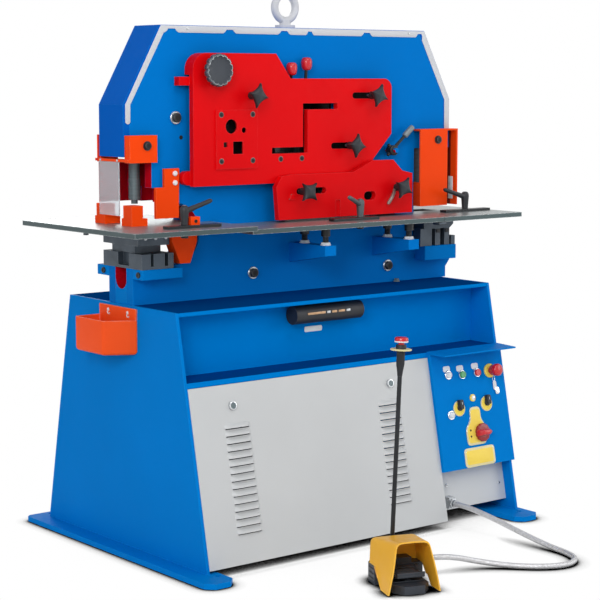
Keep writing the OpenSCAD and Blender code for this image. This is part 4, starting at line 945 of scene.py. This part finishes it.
# Stop block on the first fence
stop_block = FramePiece("fence_stop", "orange", "pit", body="fence_1")
stop_block.box((-511, -209, 1003.3), (-479, -184, 1028), 1.6)
stop_block.screw(front(-495, -209, 1015), 5, 3, 1, 1)
stop_block.done(slot="orange_paint")

# Pin by the lowest right star knob and a small red pointer on the lower plate
pin = FramePiece("shear_pin", "pin", "red")
pin.tube([(378, -97, 1070), (368, -106, 1062), (352, -116, 1048), (334, -118, 1028), (331, -118, 1024)],
         [5, 5.5, 6, 6, 4], 18)
pin.prism(front(-49.5, LOW_RED_FACE, 1062), soft_corners([(-13, -8), (13, -8), (6, 9), (-4, 9)], 3),
          0.02, 6, 0.8, 1)
pin.done(slot="bright_steel")

# Plain pale plate inside the notcher guard
strip = FramePiece("guard_plate", "white")
strip.box((684.8, -48, 1024), (686, -26, 1100), 0.3)
strip.done()

# Nuts of the window bar and the nut on the deck
nuts = FramePiece("window_nuts", "steel")
for y in (0, 92):
    nuts.screw(left(-629, y, 1188), 3.6, 3, 0, 0)
nuts.done(slot="bright_steel")
nuts = Piece("deck_nut", "ram")
nuts.loft(top(415, -73, 756), HEXAGON, [(11.7, 0.02), (11.7, 2), (9, 2), (9, 9), (8, 10), (0, 10)])
nuts.done(slot="bright_steel")


# Foot switch: moulded guard, ribbed treadle and housing details
FRONT_ARCH = [(80, 3), (74, 31), (68, 59), (62, 87), (56.5, 112), (53.4, 126), (51.4, 134), (48.5, 140),
              (44, 144.4), (37, 146.6), (26, 147.4), (12, 147.8), (0, 148)]
REAR_ARCH = [(76, 3), (75, 30), (74, 57), (73.2, 82), (72.6, 102), (72, 112), (70.8, 118.4), (68, 123),
             (63.4, 126.4), (57, 127.8), (42, 128.2), (20, 128.4), (0, 128.5)]
GUARD_DEEP = 168


def guard_ring(y, draw_in, back_in=0.0):
    """One section of the guard at depth y, from the left foot over the top to the right foot."""
    s = min(1, y / GUARD_DEEP)
    # The foot of each side rises towards the back
    low_z = 3 if y <= 61 else min(56, 6 + (y - 61) * 36 / 43 if y <= 104 else 42 + (y - 104))
    half = []
    for (fx, fz), (rx, rz) in zip(FRONT_ARCH, REAR_ARCH):
        x, z = fx + (rx - fx) * s, fz + (rz - fz) * s
        steep = min(1, max(0, (z - 100) / 30))
        x -= draw_in * (1 - 0.5 * steep) + back_in
        z = max(z - draw_in * steep, low_z)
        half.append((x, y + max(0, 0.2 * (z - 60) - 2) * max(0, 1 - y / 60), z - back_in * steep))
    ring = [(-x, yy, z) for x, yy, z in half] + half[-2::-1]
    return [PEDAL @ Vector(q) for q in ring]


guard = Piece("pedal_guard_shell", "guard_yellow")
DEPTHS = (3, 10, 24, 42, 61, 75, 90, 104, 118, 135, 150, 160)
WALL = 4.6
outer_rows = guard.sheet([guard_ring(0.5, 0.4)] + [guard_ring(y, 0) for y in DEPTHS]
                         + [guard_ring(165, 0, 1.2), guard_ring(167.8, 0, 4.5)])
inner_rows = guard.sheet([guard_ring(0.5, 4.2)] + [guard_ring(y, WALL) for y in DEPTHS + (163.2,)])
for last in (outer_rows[-1], inner_rows[-1]):
    for k in range(len(last) // 2):
        corners = [last[k], last[k + 1], last[-k - 2], last[-k - 1]]
        guard.bm.faces.new(list(dict.fromkeys(corners)))
rims = list(zip(outer_rows[0], inner_rows[0]))
for (a, c), (b, d) in zip(rims, rims[1:]):
    guard.bm.faces.new([a, b, d, c])
for e in (0, -1):
    feet = list(zip(outer_rows, inner_rows)) + [(outer_rows[-1], inner_rows[-1])]
    for (a, c), (b, d) in zip(feet, feet[1:]):
        corners = list(dict.fromkeys([a[e], b[e], d[e], c[e]]))
        if len(corners) > 2:
            guard.bm.faces.new(corners)
guard.done("pedal_guard", "yellow_plastic", 50)

treadle = Piece("treadle", "pedal", "rubber", body="pedal")
treadle.box((-42, 26, 40), (42, 108, 48), 2.5, 0, PEDAL)
treadle.box((-42, 26, 46), (42, 31, 55.5), 1.6, 0, PEDAL)
for k in range(9):
    treadle.box((-36, 36 + 6.4 * k, 47.5), (36, 39.4 + 6.4 * k, 50), 0.8, 1, PEDAL)
treadle.lathe(PEDAL @ right(-42, 112, 45),
              [(3.5, 0), (7, 0.3), (7, 83.7), (3.5, 84), (3.5, 0)], 28)
treadle.done("foot_pedal", "black_plastic")

base = Piece("switch_details", "pedal", "steel", "rubber")
for x in (-32, 32):
    base.screw(PEDAL @ top(x, 195, 72), 4, 2, 1, 2)
base.lathe(PEDAL @ top(0, 60, 24), [(11, 0.02), (11, 3), (8, 5.2), (0, 5.6)], 28)
for y in (44, 84):
    base.box((-46, y, 23.5), (46, y + 5, 27), 1, 0, PEDAL)
for x in (-74, 74):
    for z in (14, 28, 42):
        base.box((x - 0.8, 128, z), (x + 0.8, 168, z + 5), 0.6, 2, PEDAL)
base.lathe(PEDAL @ right(58, 185, 46), [(13, 0), (15, 0.5), (15, 8), (13, 8.5)], 6, 1)
base.done(slot="black_plastic")

# Post of the foot switch and the head of its stop button
post = Piece("stop_post", "black_steel", "rubber", "collar", "black")
post.lathe(POST_FOOT, [(14, 0), (14, 8), (11, 13.4), (7, 14)])
post.lathe(POST, [(6.5, 8), (6.5, 528)], 24)
post.lathe(POST, [(7.2, 514), (8.2, 524), (11.6, 545), (12, 550), (12, 588)], 32, 1)
post.lathe(POST, [(14, 587), (30, 588), (31, 590), (30, 592), (14, 592), (14, 587)], 48, 2, False)
post.lathe(POST, [(15, 591.5), (15, 602), (14, 604), (9.4, 604), (9.2, 589.6), (0, 589.4)], 36, 3, False)
post.done("estop_post", "black_steel")

post_head = Piece("post_stop_head", "red_cap", "white", body="post_stop")
post_head.lathe(POST, [(8.6, 597), (8.6, 609), (14, 610), (19.4, 611)], 40)
post_head.lathe(POST, [(19.4, 611), (20, 612), (20, 614.4), (19.6, 615)], 40, 1)
post_head.lathe(POST, [(19.6, 615), (19.4, 621), (17.6, 624.6), (12, 626), (0, 626)], 40)
post_head.done("post_estop", "red_plastic")

# Gland nut for the conduit
gland = Piece("gland_nut", "steel")
x, y, z = ROUTE[0]
gland.lathe(front(x, y + 19, z), [(15, 0.1), (17, 1), (17, 9), (15.5, 10)], 6)
gland.lathe(front(x, y + 9, z), [(12.8, 0), (12.8, 6), (10.5, 9), (8.7, 9)])
gland.done(slot="bright_steel")

# Back of the machine: nuts of the frame bolts, a service door, its hinges and latches
rear = FramePiece("rear_fittings", "steel", "black_steel")
for x, z in FRAME_BOLTS + ((-500, 1440), (480, 1440), (240, 1180), (-250, 1120)):
    rear.lathe(back(x, REAR_FACE, z), [(21, 0), (21, 3.6), (19.6, 5), (12, 5)], 36)
    rear.loft(back(x, REAR_FACE + 5, z), HEXAGON,
              [(16, 0), (16, 10), (14.4, 12), (8.8, 12), (8, 15), (0, 15)], 1)
rear.done(slot="dark_steel")
door = Piece("rear_door", "blue", "black", "steel")
door.prism(rear_slope(0, 190, 0), rounded(620, 250, 8), 0.1, 2.4, 0.6)
for z in (110, 270):
    door.tube([rear_slope(312, z + side, 3).translation for side in (-22, 22)], 4, 14, 2)
for z in (130, 250):
    door.lathe(rear_slope(-285, z, 2.4), [(13, 0), (13, 3), (10, 5), (6, 5)], 28, 1)
    door.lathe(rear_slope(-285, z, 2.4), [(6, 4.6), (0, 4.6)], 3, 2)
door.done(slot="blue_paint")


# White floor
FLOOR_HALF, FLOOR_Z = 30, -0.001
floor_mesh = bpy.data.meshes.new("floor")
corners = ((-1, -1), (1, -1), (1, 1), (-1, 1))
floor_mesh.from_pydata([(x * FLOOR_HALF, y * FLOOR_HALF, FLOOR_Z) for x, y in corners], [], [(0, 1, 2, 3)])
floor = bpy.data.objects.new("floor", floor_mesh)
scene.collection.objects.link(floor)


def split_rays(tree, lit, viewed, out):
    """Rays of the camera, of mirrors and of glass meet viewed; all others meet lit."""
    link = tree.links.new
    rays = add(tree, "LightPath")
    seen = rays.outputs["Is Camera Ray"]
    for other in ("Is Glossy Ray", "Is Transmission Ray"):
        seen = combine(tree, "MAXIMUM", seen, rays.outputs[other])
    mixer = add(tree, "MixShader")
    for i, socket in enumerate((seen, lit.outputs[0], viewed.outputs[0])):
        link(socket, mixer.inputs[i])
    link(mixer.outputs[0], out.inputs[0])


# The floor's glow is darkened as painted shadow where the object stands close to it: distance, and the span
# of openness that fades
SHADES = ((0.25, 0.05, 0.62), (1.2, 0.1, 0.46), (0.045, 0.62, 0.98))
paper = bpy.data.materials.new("pale_floor")
paper.use_nodes = True
nt = paper.node_tree
nt.nodes.clear()
out = add(nt, "OutputMaterial")
diffuse = add(nt, "BsdfDiffuse")
diffuse.inputs["Color"].default_value = (0.85, 0.85, 0.85, 1)
shade = None
for reach, low, high in SHADES:
    near = add(nt, "AmbientOcclusion")
    near.samples = 12
    near.inputs["Distance"].default_value = reach
    fade = ramp(nt, near.outputs["AO"], low, high, 0, 1)
    shade = fade if shade is None else combine(nt, "MULTIPLY", shade, fade)
glow = add(nt, "Emission")
nt.links.new(shade, glow.inputs["Strength"])
split_rays(nt, diffuse, glow, out)
floor_mesh.materials.append(paper)

# White world to look at; its light is brighter at the horizon than overhead
HORIZON_LIGHT, OVERHEAD_LIGHT = 0.79, 0.24
world = bpy.data.worlds.new("studio")
scene.world = world
world.use_nodes = True
nt = world.node_tree
nt.nodes.clear()
out = add(nt, "OutputWorld")
split = add(nt, "SeparateXYZ")
nt.links.new(add(nt, "TexCoord").outputs["Generated"], split.inputs[0])
soft = add(nt, "Background")
soft.inputs["Color"].default_value = (0.97, 0.985, 1, 1)
nt.links.new(ramp(nt, split.outputs[2], 0, 0.9, HORIZON_LIGHT, OVERHEAD_LIGHT), soft.inputs["Strength"])
white = add(nt, "Background")
white.inputs["Color"].default_value = (1, 1, 1, 1)
white.inputs["Strength"].default_value = 1
split_rays(nt, soft, white, out)


def lamp(name, place, aim_z, size, power):
    data = bpy.data.lights.new(name, "AREA")
    data.shape = "DISK"
    data.size = size
    data.energy = power
    obj = bpy.data.objects.new(name, data)
    obj.location = place
    obj.rotation_euler = (Vector((0, 0, aim_z)) - Vector(place)).to_track_quat("-Z", "Y").to_euler()
    scene.collection.objects.link(obj)


lamp("key", (-5.0, -4.2, 3.2), 0.8, 2.4, 143)
lamp("top", (-0.4, -3.0, 4.6), 0.8, 2.2, 46)
lamp("fill", (4.5, -4.0, 2.2), 0.8, 3.0, 49)
lamp("rear", (1.5, 5.0, 3.6), 0.9, 3.0, 110)

scene.view_settings.view_transform = "Standard"
